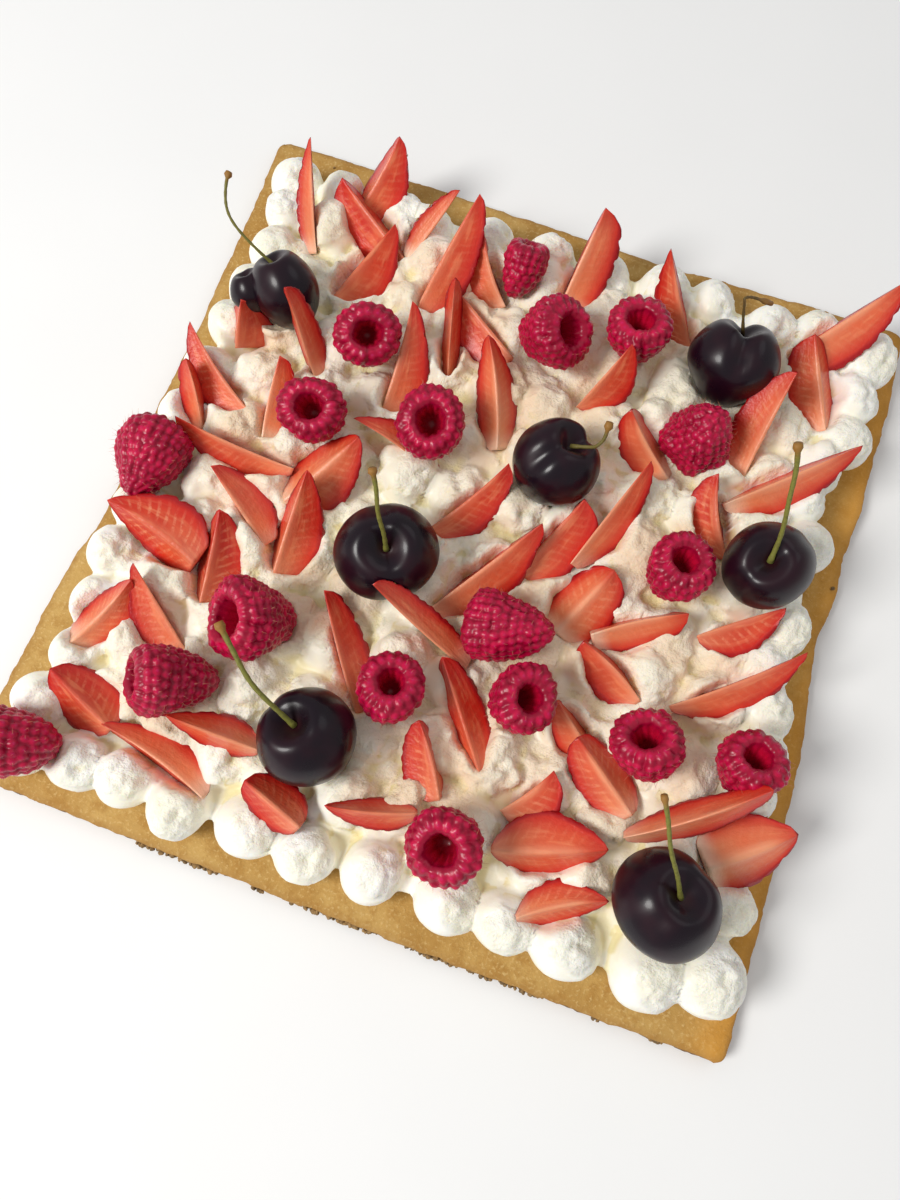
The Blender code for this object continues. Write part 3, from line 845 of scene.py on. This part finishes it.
def seeds_of(length, radius, low, high, width_at, sway, turned, place):
    """The places, facings and runs of the seeds, one in each pit of the skin."""
    seeds = []
    for line in range(1, int(length / seed_spacing)):
        level = line * seed_spacing
        width, aside = width_at(level), sway(level / length)
        for column in range(-12, 12):
            at = (column - (0 if line % 2 == 0 else 0.5)) * seed_spacing / radius
            if low + 0.06 < at < high - 0.06 and width > 1.5:
                spot = Vector((math.cos(at) * (width - 0.28) + 0.5 * aside,
                               math.sin(at) * (width - 0.28) + aside, level))
                seeds.append(((turned @ spot + place) * mm,
                              turned @ Vector((math.cos(at), math.sin(at), 0)),
                              turned @ Vector((0, 0, 1))))
    return seeds


def slice_part(row, number):
    """One wedge of a berry, and the places and directions of the seeds in its skin."""
    x, y, z, heading, lean, length, radius, turn, span, trim, blunt, pale, rays = row
    chance = random.Random(number * 13 + 5)
    rings = round(length / 0.75)
    skin_steps = max(6, round(math.radians(span) * radius / 0.9))
    low, high = math.radians(-turn - span / 2), math.radians(-turn + span / 2)
    on_cut = np.linspace(0, 1, cut_steps + 1)
    on_skin = np.linspace(0, 1, skin_steps + 1)[1:-1]
    share = np.concatenate([on_cut, np.ones(len(on_skin)), on_cut[:0:-1]])
    around = np.concatenate([np.full(cut_steps + 1, low), low + on_skin * (high - low),
                             np.full(cut_steps, high)])
    skin = np.concatenate([np.zeros(cut_steps), [0.55], np.ones(len(on_skin)), [0.55],
                           np.zeros(cut_steps - 1)])
    along = np.linspace(0, 1, rings + 1)
    along = along + 0.12 * np.sin(2 * np.pi * along) / (2 * np.pi)
    on_berry = trim / 100 + (1 - trim / 100) * along * (1 - 0.016 * blunt)
    swell = np.sin(np.pi * on_berry ** (0.7 + 0.2 * chance.random())) ** (0.85 - 0.03 * blunt)
    # the tip is rounded off over its last stretch, the more the blunter it is
    to_tip = np.clip((1 - along) / (0.03 + 0.011 * blunt), 0, 1)
    swell *= np.sqrt(to_tip * (2 - to_tip))
    t, s = np.meshgrid(along, share, indexing="ij")
    w, angle = np.meshgrid(swell, around, indexing="ij")
    is_skin = np.broadcast_to(skin, t.shape)
    mm_along = t * length
    # seed pits in the skin, in staggered rows, which also notch the rim
    line = np.round(mm_along / seed_spacing)
    arc = angle * radius / seed_spacing + np.where(line % 2 == 0, 0, 0.5)
    off_arc, off_along = (arc - np.round(arc)) * seed_spacing, mm_along - line * seed_spacing
    pit = np.exp(-(off_arc ** 2 + off_along ** 2) / 0.7) * (is_skin > 0.5)
    wobble = np.array([[noise.noise(Vector((number * 3.7, i * 0.16, j * 0.4)))
                        for j in range(t.shape[1])] for i in range(t.shape[0])])
    wide_enough = np.minimum(1, w * 2)
    reach = radius * w * s - pit * notch * wide_enough + wobble * 0.6 * s * wide_enough
    # cut faces dip a little between core and rim
    dip = np.sin(np.pi * np.clip(s, 0, 1)) * (1 - (is_skin > 0.5)) * 0.045 * radius * w
    side = np.where(np.arange(len(share)) <= cut_steps, 1, -1)[None, :]
    angle = angle + side * dip / np.maximum(reach, 0.35) * (is_skin < 0.5)
    bend = chance.uniform(-1.1, 1.1)

    def sway(t):
        return bend * 4 * t * (1 - t)

    def width_at(level):
        return np.interp(level, mm_along[:, 0], swell) * radius

    local = np.stack([reach * np.cos(angle) + 0.5 * sway(t), reach * np.sin(angle) + sway(t),
                      mm_along], -1)
    turned = pointing(heading, lean)
    points = (local.reshape(-1, 3) @ np.array(turned).T + (x, y, z)) * mm
    faces = hoops(rings, len(share)) + [tuple(range(len(share)))]
    marks = {"across": s.ravel(), "skin": is_skin.ravel(), "along": mm_along.ravel(),
             "share": t.ravel(), "pit": pit.ravel(), "tone": chance.random(), "pale": pale / 9,
             "rays": rays / 9}
    seeds = seeds_of(length, radius, low, high, width_at, sway, turned, Vector((x, y, z)))
    return (points, faces, marks), seeds


def strawberry_finish():
    made, tree = finish("strawberry", Specular_IOR_Level=0.4, Subsurface_Weight=0.12,
                        Subsurface_Scale=0.003, Subsurface_Radius=(1, 0.35, 0.2),
                        Coat_Roughness=0.15)
    across, skin, along, share, tone, pale, pit, rays = (
        mark(tree, key) for key in "across skin along share tone pale pit rays".split())
    fine, wide = grain(tree, 1.1, 3, 0.6), grain(tree, 6, 2)
    # fibres run the length of the slice
    fibres = step(tree, "ShaderNodeCombineXYZ", {0: times(tree, along, 0.12),
                  1: times(tree, across, 6.0), 2: times(tree, tone, 40.0)}).outputs[0]
    streaks = step(tree, "ShaderNodeTexNoise", {"Vector": fibres, "Scale": 1.0, "Detail": 2.0})
    streaks = streaks.outputs["Fac"]
    # rays run from the core to the rim, slanting towards the tip
    slant = plus(tree, times(tree, along, 0.42), times(tree, across, -2.2), times(tree, wide, 0.9),
                 times(tree, fine, 0.22))
    ray = times(tree, between(tree, count(tree, "SINE", times(tree, slant, 6.283)), 0.0, 1.0),
                between(tree, across, 0.15, 0.4), between(tree, across, 0.96, 0.75),
                between(tree, fine, 0.3, 0.6))
    stalk = times(tree, between(tree, share, 0.6, 0.05), between(tree, pale, 0.0, 0.9, 0.25, 0.8))
    core = times(tree, between(tree, across, 0.3, 0.02), between(tree, share, 0.95, 0.6),
                 between(tree, pale, 0.0, 0.8, 0.2, 0.75))
    whitish = times(tree, between(tree, share, 0.22, 0.0), between(tree, pale, 0.3, 0.9, 0.1, 0.9))
    rim = plus(tree, across, times(tree, wide, 0.12))
    flesh = layered(
        tree, tint(214, 56, 26), (tone, (200, 34, 28)),
        (between(tree, pale, 0.1, 0.95), (232, 120, 80)),
        (between(tree, wide, 0.4, 0.7, 0, 0.45), (236, 104, 62)),
        (between(tree, streaks, 0.48, 0.7, 0, 0.5), (242, 146, 100)),
        (stalk, (238, 144, 98)), (core, (244, 168, 128)),
        (times(tree, ray, between(tree, rays, 0.0, 0.9, 0.1, 0.5)), (248, 172, 130)),
        (times(tree, between(tree, share, 0.7, 1.0), 0.75), (196, 22, 24)),
        (between(tree, rim, 0.42, 0.9, 0, 0.85), (204, 28, 18)),
        (between(tree, rim, 0.84, 0.97, 0, 0.95), (168, 8, 18)), (whitish, (242, 206, 178)))
    rind = layered(tree, tint(184, 16, 20), (tone, (152, 8, 18)),
                   (times(tree, whitish, 0.7), (236, 150, 110)),
                   # painted shade: the seed pits in the skin are painted darker
                   (times(tree, pit, 0.5), (120, 8, 12)))
    height = plus(tree, times(tree, streaks, 0.5), times(tree, fine, 0.6))
    return wire(made, Base_Color=blend(tree, between(tree, skin, 0.25, 0.7), flesh, rind),
                Roughness=between(tree, skin, 0.2, 0.8, 0.36, 0.22),
                Coat_Weight=between(tree, skin, 0.2, 0.8, 0.12, 0.45),
                Normal=raised(tree, height, 0.4, 0.8))


strawberry = strawberry_finish()
seed_places = []
number = 0
for which, group in enumerate(slices + (further_slices,), 1):
    parts = []
    for row in group:
        number += 1
        part, seeds = slice_part(row, number)
        parts.append(part)
        seed_places += seeds
    if group is further_slices:
        settle(shape("strawberry_more_slices", parts, strawberry), "strawberry")
    else:
        piece = shape(f"strawberry_slice_{which:02}", parts, strawberry)
        settle(piece, "strawberry", f"strawberry_{which:02}")


def seed_finish():
    made, tree = finish("strawberry seed", Roughness=0.4)
    return wire(made, Base_Color=layered(tree, tint(196, 138, 48),
                                         (grain(tree, 2.5), (132, 78, 28))))


def seed_tree(material):
    """Teardrop seeds lying in the pits of the skin."""
    tree, given, out = geometry_tree("seeds in the skin", Length=1.3 * mm, Width=0.75 * mm, Seed=3)
    drop = step(tree, "GeometryNodeMeshIcoSphere", {"Radius": 1.0, "Subdivisions": 1})
    long, wide = times(tree, given["Length"], 0.5), times(tree, given["Width"], 0.5)
    size = step(tree, "ShaderNodeCombineXYZ", {0: long, 1: wide, 2: times(tree, wide, 0.6)})
    size = scaled(tree, size.outputs[0], chosen(tree, given, 0.75, 1.1))
    return set_out(tree, out, on_points(tree, given, drop, size), material)


settle(scattered("strawberry_seeds", seed_places, seed_tree(seed_finish())), "strawberry")


# ------------------------------------------------------------------ the raspberries
# Whole raspberries, each a cup of juicy drupelets round the hollow left by its core. Most lie
# with the hollow up. Most drupelets keep a fine pale hair.

# As in the frame: x, y, z of the middle, diameter and length, then heading and lean of the
# way in which the hollow opens; then, in %, how much the berry narrows and how lumpy it is
raspberries = (
    (-11.3, 78, 23, 14.4, 17, 90, 45, 5, 10), (-46, 40, 25, 19, 18, -60, 60, 0, 6),
    (3, 59, 25, 21, 20, -10, 45, 0, 8), (27, 67, 25, 19, 18, 150, 85, 5, 8),
    (-51, 12, 25, 19, 18, -80, 75, 0, 8), (-19, 20, 25, 20, 18, -80, 70, 0, 6),
    (53, 44, 24, 21, 22, -120, -80, 5, 16), (-89, -17, 23, 22, 24, 95, -10, 26, 8),
    (57, 2, 25, 19, 18, 70, 80, 0, 8), (-42, -48, 25, 22, 24, -145, 50, 8, 10),
    (20, -28, 25, 21, 24, -170, -10, 12, 10), (-3, -54, 25, 18, 18, 90, 80, 0, 8),
    (28, -45, 26, 18, 19, 0, 70, 0, 8), (-56, -70, 25, 21, 23, -155, 30, 8, 10),
    (63, -46, 25, 19, 19, 140, 65, 8, 8), (88, -42, 25, 18, 18, 100, 70, 5, 10),
    (-87, -98, 23, 21, 23, -160, 15, 12, 8), (23, -84, 25, 20, 18, -110, 70, 0, 10),
)
# the outline of a raspberry from its tip to its rim, and of its hollow, in shares
berry_outline = ((0, -1), (0.28, -0.94), (0.52, -0.76), (0.7, -0.5), (0.84, -0.2), (0.94, 0.1),
                 (1, 0.4), (0.96, 0.7), (0.8, 0.93))
hollow_outline = ((0.58, 0.98), (0.46, 0.88), (0.38, 0.65), (0.33, 0.3), (0.27, 0),
                  (0.12, -0.14), (0, -0.16))
drupelet = 3.05
drupelet_height = 1.1
lip_lobe = 4.7
berry_voxel = 0.36 * mm
crown_reach = 1.7 * mm
hair_share = 0.7


def berry_core(row, number):
    """The body under the drupelets, with its hollow."""
    x, y, z, diameter, length, heading, lean, _, _ = row
    radius, half = diameter / 2, length / 2
    profile = [((r - 0.13) if r > 0.2 else r * 0.3, h * 0.88) for r, h in berry_outline]
    profile += hollow_outline
    sides = 44
    aim = pointing(heading, lean)
    points = []
    for index, (r, h) in enumerate(profile):
        ribbed = index >= len(berry_outline) and r > 0.2
        for s in range(sides):
            angle = 2 * math.pi * s / sides
            rib = 0.045 * math.cos(10 * angle + number) + 0.02 * math.cos(19 * angle + h * 9)
            out = (r + rib * ribbed) * radius
            points.append((aim @ Vector((out * math.cos(angle), out * math.sin(angle), h * half))
                           + Vector((x, y, z))) * mm)
    return np.array(points), hoops(len(profile) - 1, sides), {}


def drupelet_places(row, number):
    """Rings of drupelets from the rim of the hollow to the tip: place, facing, run and size."""
    x, y, z, diameter, length, heading, lean, _, _ = row
    chance = random.Random(number)
    radius, half = diameter / 2, length / 2
    aim = pointing(heading, lean)
    outline = [Vector((r * radius, h * half)) for r, h in berry_outline][::-1]
    walked = [0]
    for a, b in zip(outline, outline[1:]):
        walked.append(walked[-1] + (b - a).length)

    def on_outline(along):
        return [float(np.interp(along, walked, [p[axis] for p in outline])) for axis in (0, 1)]

    rings = round(walked[-1] / (drupelet * 0.8))
    for ring in range(rings + 1):
        along = walked[-1] * ring / rings
        r, h = on_outline(along)
        ahead, behind = on_outline(min(along + 0.5, walked[-1])), on_outline(max(along - 0.5, 0))
        run = Vector((ahead[0] - behind[0], ahead[1] - behind[1])).normalized()
        out = Vector((-run.y, run.x)) if run.length else Vector((0, -1))
        if ring == rings:
            out, r = Vector((0, -1)), 0
        if ring == 0:
            # the lobes round the lip lie over it and into the hollow
            out, run = Vector((0.12, 1)).normalized(), Vector((1, -0.12)).normalized()
            r = 0.66 * radius
        girth = 2 * math.pi * max(r, 0.78 * radius * (ring == 0))
        around = max(1, round(girth / (drupelet * 0.88)))
        for place in range(around):
            angle = 2 * math.pi * (place + 0.5 * (ring % 2) + chance.uniform(-0.16, 0.16)) / around
            slip = chance.uniform(-0.28, 0.28) if 0 < ring < rings else 0
            flat, up = Vector((math.cos(angle), math.sin(angle), 0)), Vector((0, 0, 1))
            sink = drupelet * 0.33 + chance.uniform(0, 0.35)
            spot = flat * (r - out.x * sink + run.x * slip) + up * (h - out.y * sink + run.y * slip)
            plump = chance.uniform(0.88, 1.08)
            size = Vector((plump, plump * chance.uniform(0.9, 1.05), drupelet_height * plump))
            size *= drupelet
            if ring == 0:
                size.x, size.y = lip_lobe * chance.uniform(0.9, 1.15), drupelet * 0.98
            yield ((aim @ spot + Vector((x, y, z))) * mm,
                   aim @ (flat * out.x + up * out.y).normalized(),
                   aim @ (flat * run.x + up * run.y), size * mm)


def misshapen(points, row, number):
    """The berry as it grew: narrower at its tip, oval and a little lumpy."""
    x, y, z, diameter, length, heading, lean, narrows, lumpy = row
    aim, middle = np.array(pointing(heading, lean)), np.array((x, y, z)) * mm
    local = (points - middle) @ aim
    height = local[:, 2] / (length / 2 * mm)
    squash = 0.05 * math.sin(number * 2.3)
    for axis, oval in ((0, 1 + squash), (1, 1 - squash)):
        local[:, axis] *= (1 - narrows / 100 * (1 - height) / 2) * oval
    swell = 1 - lumpy / 200 + lumpy / 100 * lumps(local, 9 * mm, number)
    return local * swell[:, None] @ aim.T + middle, local / (diameter / 2 * mm), height


def raspberry_finish():
    made, tree = finish("raspberry", Specular_IOR_Level=0.34, Sheen_Weight=0.02,
                        Sheen_Roughness=0.4, Sheen_Tint=(0.9, 0.4, 0.5, 1), Subsurface_Weight=0.1,
                        Subsurface_Scale=0.003, Subsurface_Radius=(1, 0.15, 0.25))
    fine, wide = grain(tree, 1.2, 3, 0.6), grain(tree, 5, 2)
    crown, inner = mark(tree, "crown"), mark(tree, "inner")
    colour = layered(tree, tint(196, 8, 66), (between(tree, wide, 0.3, 0.7), (162, 4, 52)),
                     # painted shade: darker in the grooves between the drupelets, away from their
                     # crowns
                     (between(tree, crown, 0.45, 0.05, 0, 0.6), (128, 2, 34)),
                     # the crowns are painted lighter pink: partly the berry's bloom, partly painted
                     # highlight
                     (between(tree, crown, 0.6, 1.0, 0, 0.4), (212, 46, 122)),
                     (between(tree, inner, 0.1, 0.5, 0, 0.7), (206, 14, 54)),
                     # painted shade: darker deep in the hollow
                     (between(tree, inner, 0.6, 1.15, 0, 0.85), (120, 2, 22)))
    return wire(made, Base_Color=colour, Roughness=between(tree, fine, 0.3, 0.7, 0.26, 0.4),
                Normal=raised(tree, fine, 0.12, 0.6))


def drupelet_tree():
    """Plump drupelets, each as large as its point says, crowded round a berry."""
    tree, given, out = geometry_tree("drupelets round a berry", Plumpness=1.0)
    bead = step(tree, "GeometryNodeMeshIcoSphere", {"Radius": 0.5, "Subdivisions": 3})
    size = scaled(tree, way_kept(tree, "size"), given["Plumpness"])
    return set_out(tree, out, on_points(tree, given, bead, size), raspberry)


def fused_berry(name, row, number, places):
    """Core and drupelets grown together, with marks for the drupelets' crowns and the hollow."""
    core = shape(name + "_core", [berry_core(row, number)], raspberry)
    beads = scattered(name, places, drupelets)
    with bpy.context.temp_override(active_object=beads, selected_editable_objects=[beads, core]):
        bpy.ops.object.join()
    mesh = run_together(beads, berry_voxel)
    bm = bmesh.new()
    bm.from_mesh(mesh)
    smoothed(bm, bm.verts, 2)
    tops = nearest([spot + facing * size.z * 0.5 for spot, facing, _, size in places])
    points = np.array([v.co for v in bm.verts])
    crown = [1 - tops.find(p)[2] / crown_reach for p in points]
    points, local, height = misshapen(points, row, number)
    for vert, point in zip(bm.verts, points):
        vert.co = point
    bm.to_mesh(mesh)
    bm.free()
    hollow = (np.hypot(local[:, 0], local[:, 1]) < 0.5) & (height > -0.3)
    keep_marks(mesh, {"crown": crown, "inner": np.where(hollow, np.clip(0.98 - height, 0, 1.2), 0)})
    return skinned(name, mesh, raspberry)


raspberry = raspberry_finish()
drupelets = drupelet_tree()
hair_roots = []
for number, row in enumerate(raspberries, 1):
    places = list(drupelet_places(row, number))
    berry = fused_berry(f"raspberry_berry_{number:02}", row, number, places)
    settle(berry, "raspberry", f"raspberry_{number:02}")
    roots = np.array([spot + facing * size.z * 0.47 for spot, facing, _, size in places])
    chance = random.Random(number + 50)
    for root, (_, facing, running, _) in zip(misshapen(roots, row, number)[0], places):
        if chance.random() < hair_share:
            blown = (facing + any_way(chance) * 0.7).normalized()
            hair_roots.append((Vector(root), blown, running))


def hair_finish():
    made, tree = finish("raspberry hair", Specular_IOR_Level=0.3)
    return wire(made, Roughness=between(tree, grain(tree, 1), 0.3, 0.7, 0.5, 0.7),
                Base_Color=layered(tree, tint(222, 170, 130), (grain(tree, 3), (196, 110, 96))))


def hair_tree(material):
    """The dry style that each drupelet keeps: a fine hair that stands off it."""
    tree, given, out = geometry_tree("hairs on the drupelets", Length=2.0 * mm, Thickness=0.05 * mm,
                                     Seed=9)
    hair = step(tree, "GeometryNodeMeshCone", {"Vertices": 4, "Radius Top": 0.2,
                "Radius Bottom": 1.0, "Depth": 1.0})
    long = times(tree, given["Length"], chosen(tree, given, 0.5, 1.0))
    thick = given["Thickness"]
    size = step(tree, "ShaderNodeCombineXYZ", {0: thick, 1: thick, 2: long})
    return set_out(tree, out, on_points(tree, given, hair, size.outputs[0]), material)


settle(scattered("raspberry_hairs", hair_roots, hair_tree(hair_finish())), "raspberry")


# ------------------------------------------------------------------ the cherries
# Whole dark sweet cherries with their stems left on; the first is a twin. The stem sits in a
# dimple, is green to brown, and ends in the woody knob that held it to the twig.

# As in the frame: x, y, z of the middle, diameter, heading and lean of the dimple, the stem's
# far end and how far its bend stands off the straight line; then the stem's thickness, how
# brown it is, its knob, how deep the cleft through the dimple is, how wide the shoulders are,
# how narrow the foot is, and how sharply the stem bends, where 1 is an even bow
cherries = (
    (-73, 45, 26, 22.5, 140, 52, (-92.4, 60.8, 48), (-9, -6, 5),
     0.4, 0.35, 1.3, 0.2, 0.84, 0.1, 1),
    (55, 67, 26, 25, 95, 48, (58.5, 80.5, 38), (-7.5, -2, 11),
     0.36, 0.9, 0.9, 1.3, 1.04, 0.22, 4),
    (17, 20, 26, 24, 50, 60, (27, 28.3, 42), (4, -3, 0),
     0.45, 0.6, 1.4, 1.0, 1.02, 0.12, 3),
    (-17, -20, 27, 25.8, -60, 75, (-22.6, -10.5, 56), (1, -2, 2),
     0.55, 0.2, 1.3, 0.6, 1.08, 0.12, 1),
    (79, 11, 27, 24, -130, 70, (69.4, 28.2, 60), (2, 1, 2),
     0.6, 0.15, 1.3, 0.4, 0.96, 0.25, 1),
    (-18, -72, 27, 25, 160, 70, (-43.2, -56.1, 50), (0, -4, 4),
     0.6, 0.2, 1.4, 0.35, 1.0, 0.1, 1),
    (76, -80, 27, 26, 60, 70, (62.8, -59.4, 56), (-1, -1, 4),
     0.52, 0.15, 0.8, 0.3, 1.04, 0.3, 1),
)
twin_lobe = (-82.4, 42, 25, 12.5)


def cherry_part(x, y, z, diameter, aim, cleft=0.3, wide=1.04, narrow=0.12):
    """A cherry's globe, with its dimple, its shoulders, its seam and a narrower foot."""
    globe, faces = ball(56, 40)
    radius = diameter / 2
    across = np.hypot(globe[:, 0], globe[:, 1])
    points = globe * radius
    top = globe[:, 2] > 0
    dip = 0.3 * np.exp(-((across / 0.36) ** 2))
    shoulder = 0.06 * np.exp(-(((across - 0.55) / 0.28) ** 2))
    points[:, 2] += radius * np.where(top, shoulder - dip, 0)
    valley = np.exp(-((globe[:, 1] / 0.2) ** 2)) * ease(globe[:, 2], -0.3, 0.5)
    points -= globe * (valley * cleft * 0.14 * radius)[:, None]
    points[:, :2] *= (1 - narrow * ease(-globe[:, 2], -0.2, 1.0))[:, None]
    points[:, 1] *= wide
    points += globe * (lumps(globe * 1.2, 1, x) * 0.035 * radius)[:, None]
    turned = points @ np.array(aim).T
    hollow = np.where(top, np.exp(-((across / 0.25) ** 2)), 0)
    return (turned + (x, y, z)) * mm, faces, {"hollow": hollow}


def swept(points, radii, marks, sides=12):
    """A round rod along the points, closed at both ends."""
    rings = []
    side = Vector((0.3, 1, 0.2)).normalized()
    for index, point in enumerate(points):
        ahead = points[min(index + 1, len(points) - 1)] - points[max(index - 1, 0)]
        ahead = ahead.normalized()
        side = (side - ahead * side.dot(ahead)).normalized()
        other = ahead.cross(side)
        for s in range(sides):
            angle = 2 * math.pi * s / sides
            rings.append(point + (side * math.cos(angle) + other * math.sin(angle)) * radii[index])
    faces = hoops(len(points) - 1, sides)
    faces += [tuple(range(sides)), tuple(range(len(rings) - 1, len(rings) - 1 - sides, -1))]
    return np.array(rings), faces, {key: np.repeat(values, sides) for key, values in marks.items()}


def stem_part(start, middle, end, sharp, thickness, brown, knob):
    """A stem, thicker where it leaves the fruit, with its woody knob at the far end."""
    steps = 26
    shares = np.linspace(0, 1, steps + 1)
    points = []
    for t in shares:
        pull = 2 * t * (1 - t) * sharp
        bowed = start * (1 - t) ** 2 + middle * pull + end * t ** 2
        wander = Vector((math.sin(9 * t), math.cos(7 * t), math.sin(5 * t)))
        points.append(bowed / ((1 - t) ** 2 + pull + t ** 2) + wander * 0.25 * mm * t * (1 - t) * 4)
    radii = thickness * (1 + 0.5 * np.exp(-shares / 0.06) + 0.35 * np.exp(-(1 - shares) / 0.1))
    swell = np.exp(-(((shares - 0.975) / 0.03) ** 2)) * (knob - thickness) * 0.8
    radii = (radii + swell + 0.05 * np.sin(shares * 60)) * mm
    return swept(points, radii, {"stem": 0.05 + 0.95 * shares, "brown": np.full(steps + 1, brown)})


def cherry_finish():
    made, tree = finish("cherry skin", Specular_IOR_Level=0.28, Coat_Weight=0.1, Coat_Roughness=0.1)
    fine, wide = grain(tree, 0.7, 3, 0.6), grain(tree, 9, 2)
    colour = layered(tree, tint(20, 7, 19), (between(tree, wide, 0.35, 0.7), (34, 6, 20)),
                     (between(tree, mark(tree, "hollow"), 0.3, 1, 0, 0.5), (52, 18, 18)))
    return wire(made, Base_Color=colour, Roughness=between(tree, wide, 0.3, 0.7, 0.26, 0.38),
                Normal=raised(tree, fine, 0.03, 0.4))


def stem_finish():
    made, tree = finish("cherry stem", Specular_IOR_Level=0.4)
    fine = grain(tree, 0.8, 3, 0.6)
    colour = layered(tree, tint(126, 128, 52), (mark(tree, "brown"), (96, 68, 40)),
                     (between(tree, fine, 0.45, 0.7, 0, 0.6), (92, 84, 36)),
                     (between(tree, mark(tree, "stem"), 0.86, 0.97), (150, 106, 46)))
    return wire(made, Base_Color=colour, Roughness=between(tree, fine, 0.3, 0.7, 0.5, 0.7),
                Normal=raised(tree, fine, 0.15))


cherry_skin, stem_bark = cherry_finish(), stem_finish()
for number, (x, y, z, diameter, heading, lean, end, bend, thickness, brown, knob,
             cleft, wide, narrow, sharp) in enumerate(cherries, 1):
    aim = pointing(heading, lean)
    parts = [cherry_part(x, y, z, diameter, aim, cleft, wide, narrow)]
    if number == 1:
        parts.append(cherry_part(*twin_lobe, aim))
    settle(shape(f"cherry_fruit_{number}", parts, cherry_skin), "cherry", f"cherry_{number}")
    root = (Vector((x, y, z)) + aim @ Vector((0, 0, diameter / 2 * 0.66))) * mm
    far = Vector(end) * mm
    middle = (root + far) / 2 + Vector(bend) * mm
    rod = stem_part(root, middle, far, sharp, thickness, brown, knob)
    settle(shape(f"cherry_stem_{number}", [rod], stem_bark), "cherry")


# ------------------------------------------------------------------ the studio
# A plain pale floor under the tart, a soft window light from the front left, and the camera.

def make_floor(reach=4.0, drop=0.0002):
    made, tree = finish("pale floor", Roughness=0.9, Specular_IOR_Level=0.1)
    wire(made, Base_Color=layered(tree, tint(246, 246, 246), (grain(tree, 60, 2), (242, 242, 242))))
    mesh = bpy.data.meshes.new("floor")
    mesh.from_pydata([(-reach, -reach, 0), (reach, -reach, 0), (reach, reach, 0),
                      (-reach, reach, 0)], [], [(0, 1, 2, 3)])
    mesh.materials.append(made)
    floor = put_out("floor", mesh)
    floor.location.z = -drop
    floor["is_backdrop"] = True


make_floor()


def soft_light(name, place, size, watts, colour):
    lamp = bpy.data.lights.new(name, "AREA")
    lamp.shape, lamp.size, lamp.energy, lamp.color = "DISK", size, watts, colour
    holder = put_out(name, lamp)
    holder.location = place
    holder.rotation_euler = (-Vector(place)).to_track_quat("-Z", "Y").to_euler()


soft_light("window", (-0.62, -0.5, 0.85), 0.45, 10.2, (1, 0.99, 0.96))
soft_light("fill", (0.5, 0.6, 1.1), 0.9, 1.2, (0.96, 0.98, 1))
world = bpy.data.worlds.new("room")
world.use_nodes = True
background = world.node_tree.nodes["Background"].inputs
background["Color"].default_value = (1, 1, 1, 1)
background["Strength"].default_value = 0.44
bpy.context.scene.world = world
bpy.context.scene.view_settings.view_transform = "Standard"

lens = bpy.data.cameras.new("camera")
lens.lens, lens.sensor_width, lens.clip_start = 25.8, 36, 0.001
camera = put_out("camera", lens)
eye = Vector((20.46, -85.03, 242.14)) * mm
right, up, forward = (Vector(way) for way in (
    (0.9408, 0.3386, 0.0164), (-0.3301, 0.9039, 0.2719), (-0.0772, 0.2612, -0.9622)))
camera.matrix_world = Matrix.Translation(eye) @ Matrix((right, up, -forward)).transposed().to_4x4()
bpy.context.scene.camera = camera

[[list(corner) for corner in box] for box in (cad_box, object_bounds())]
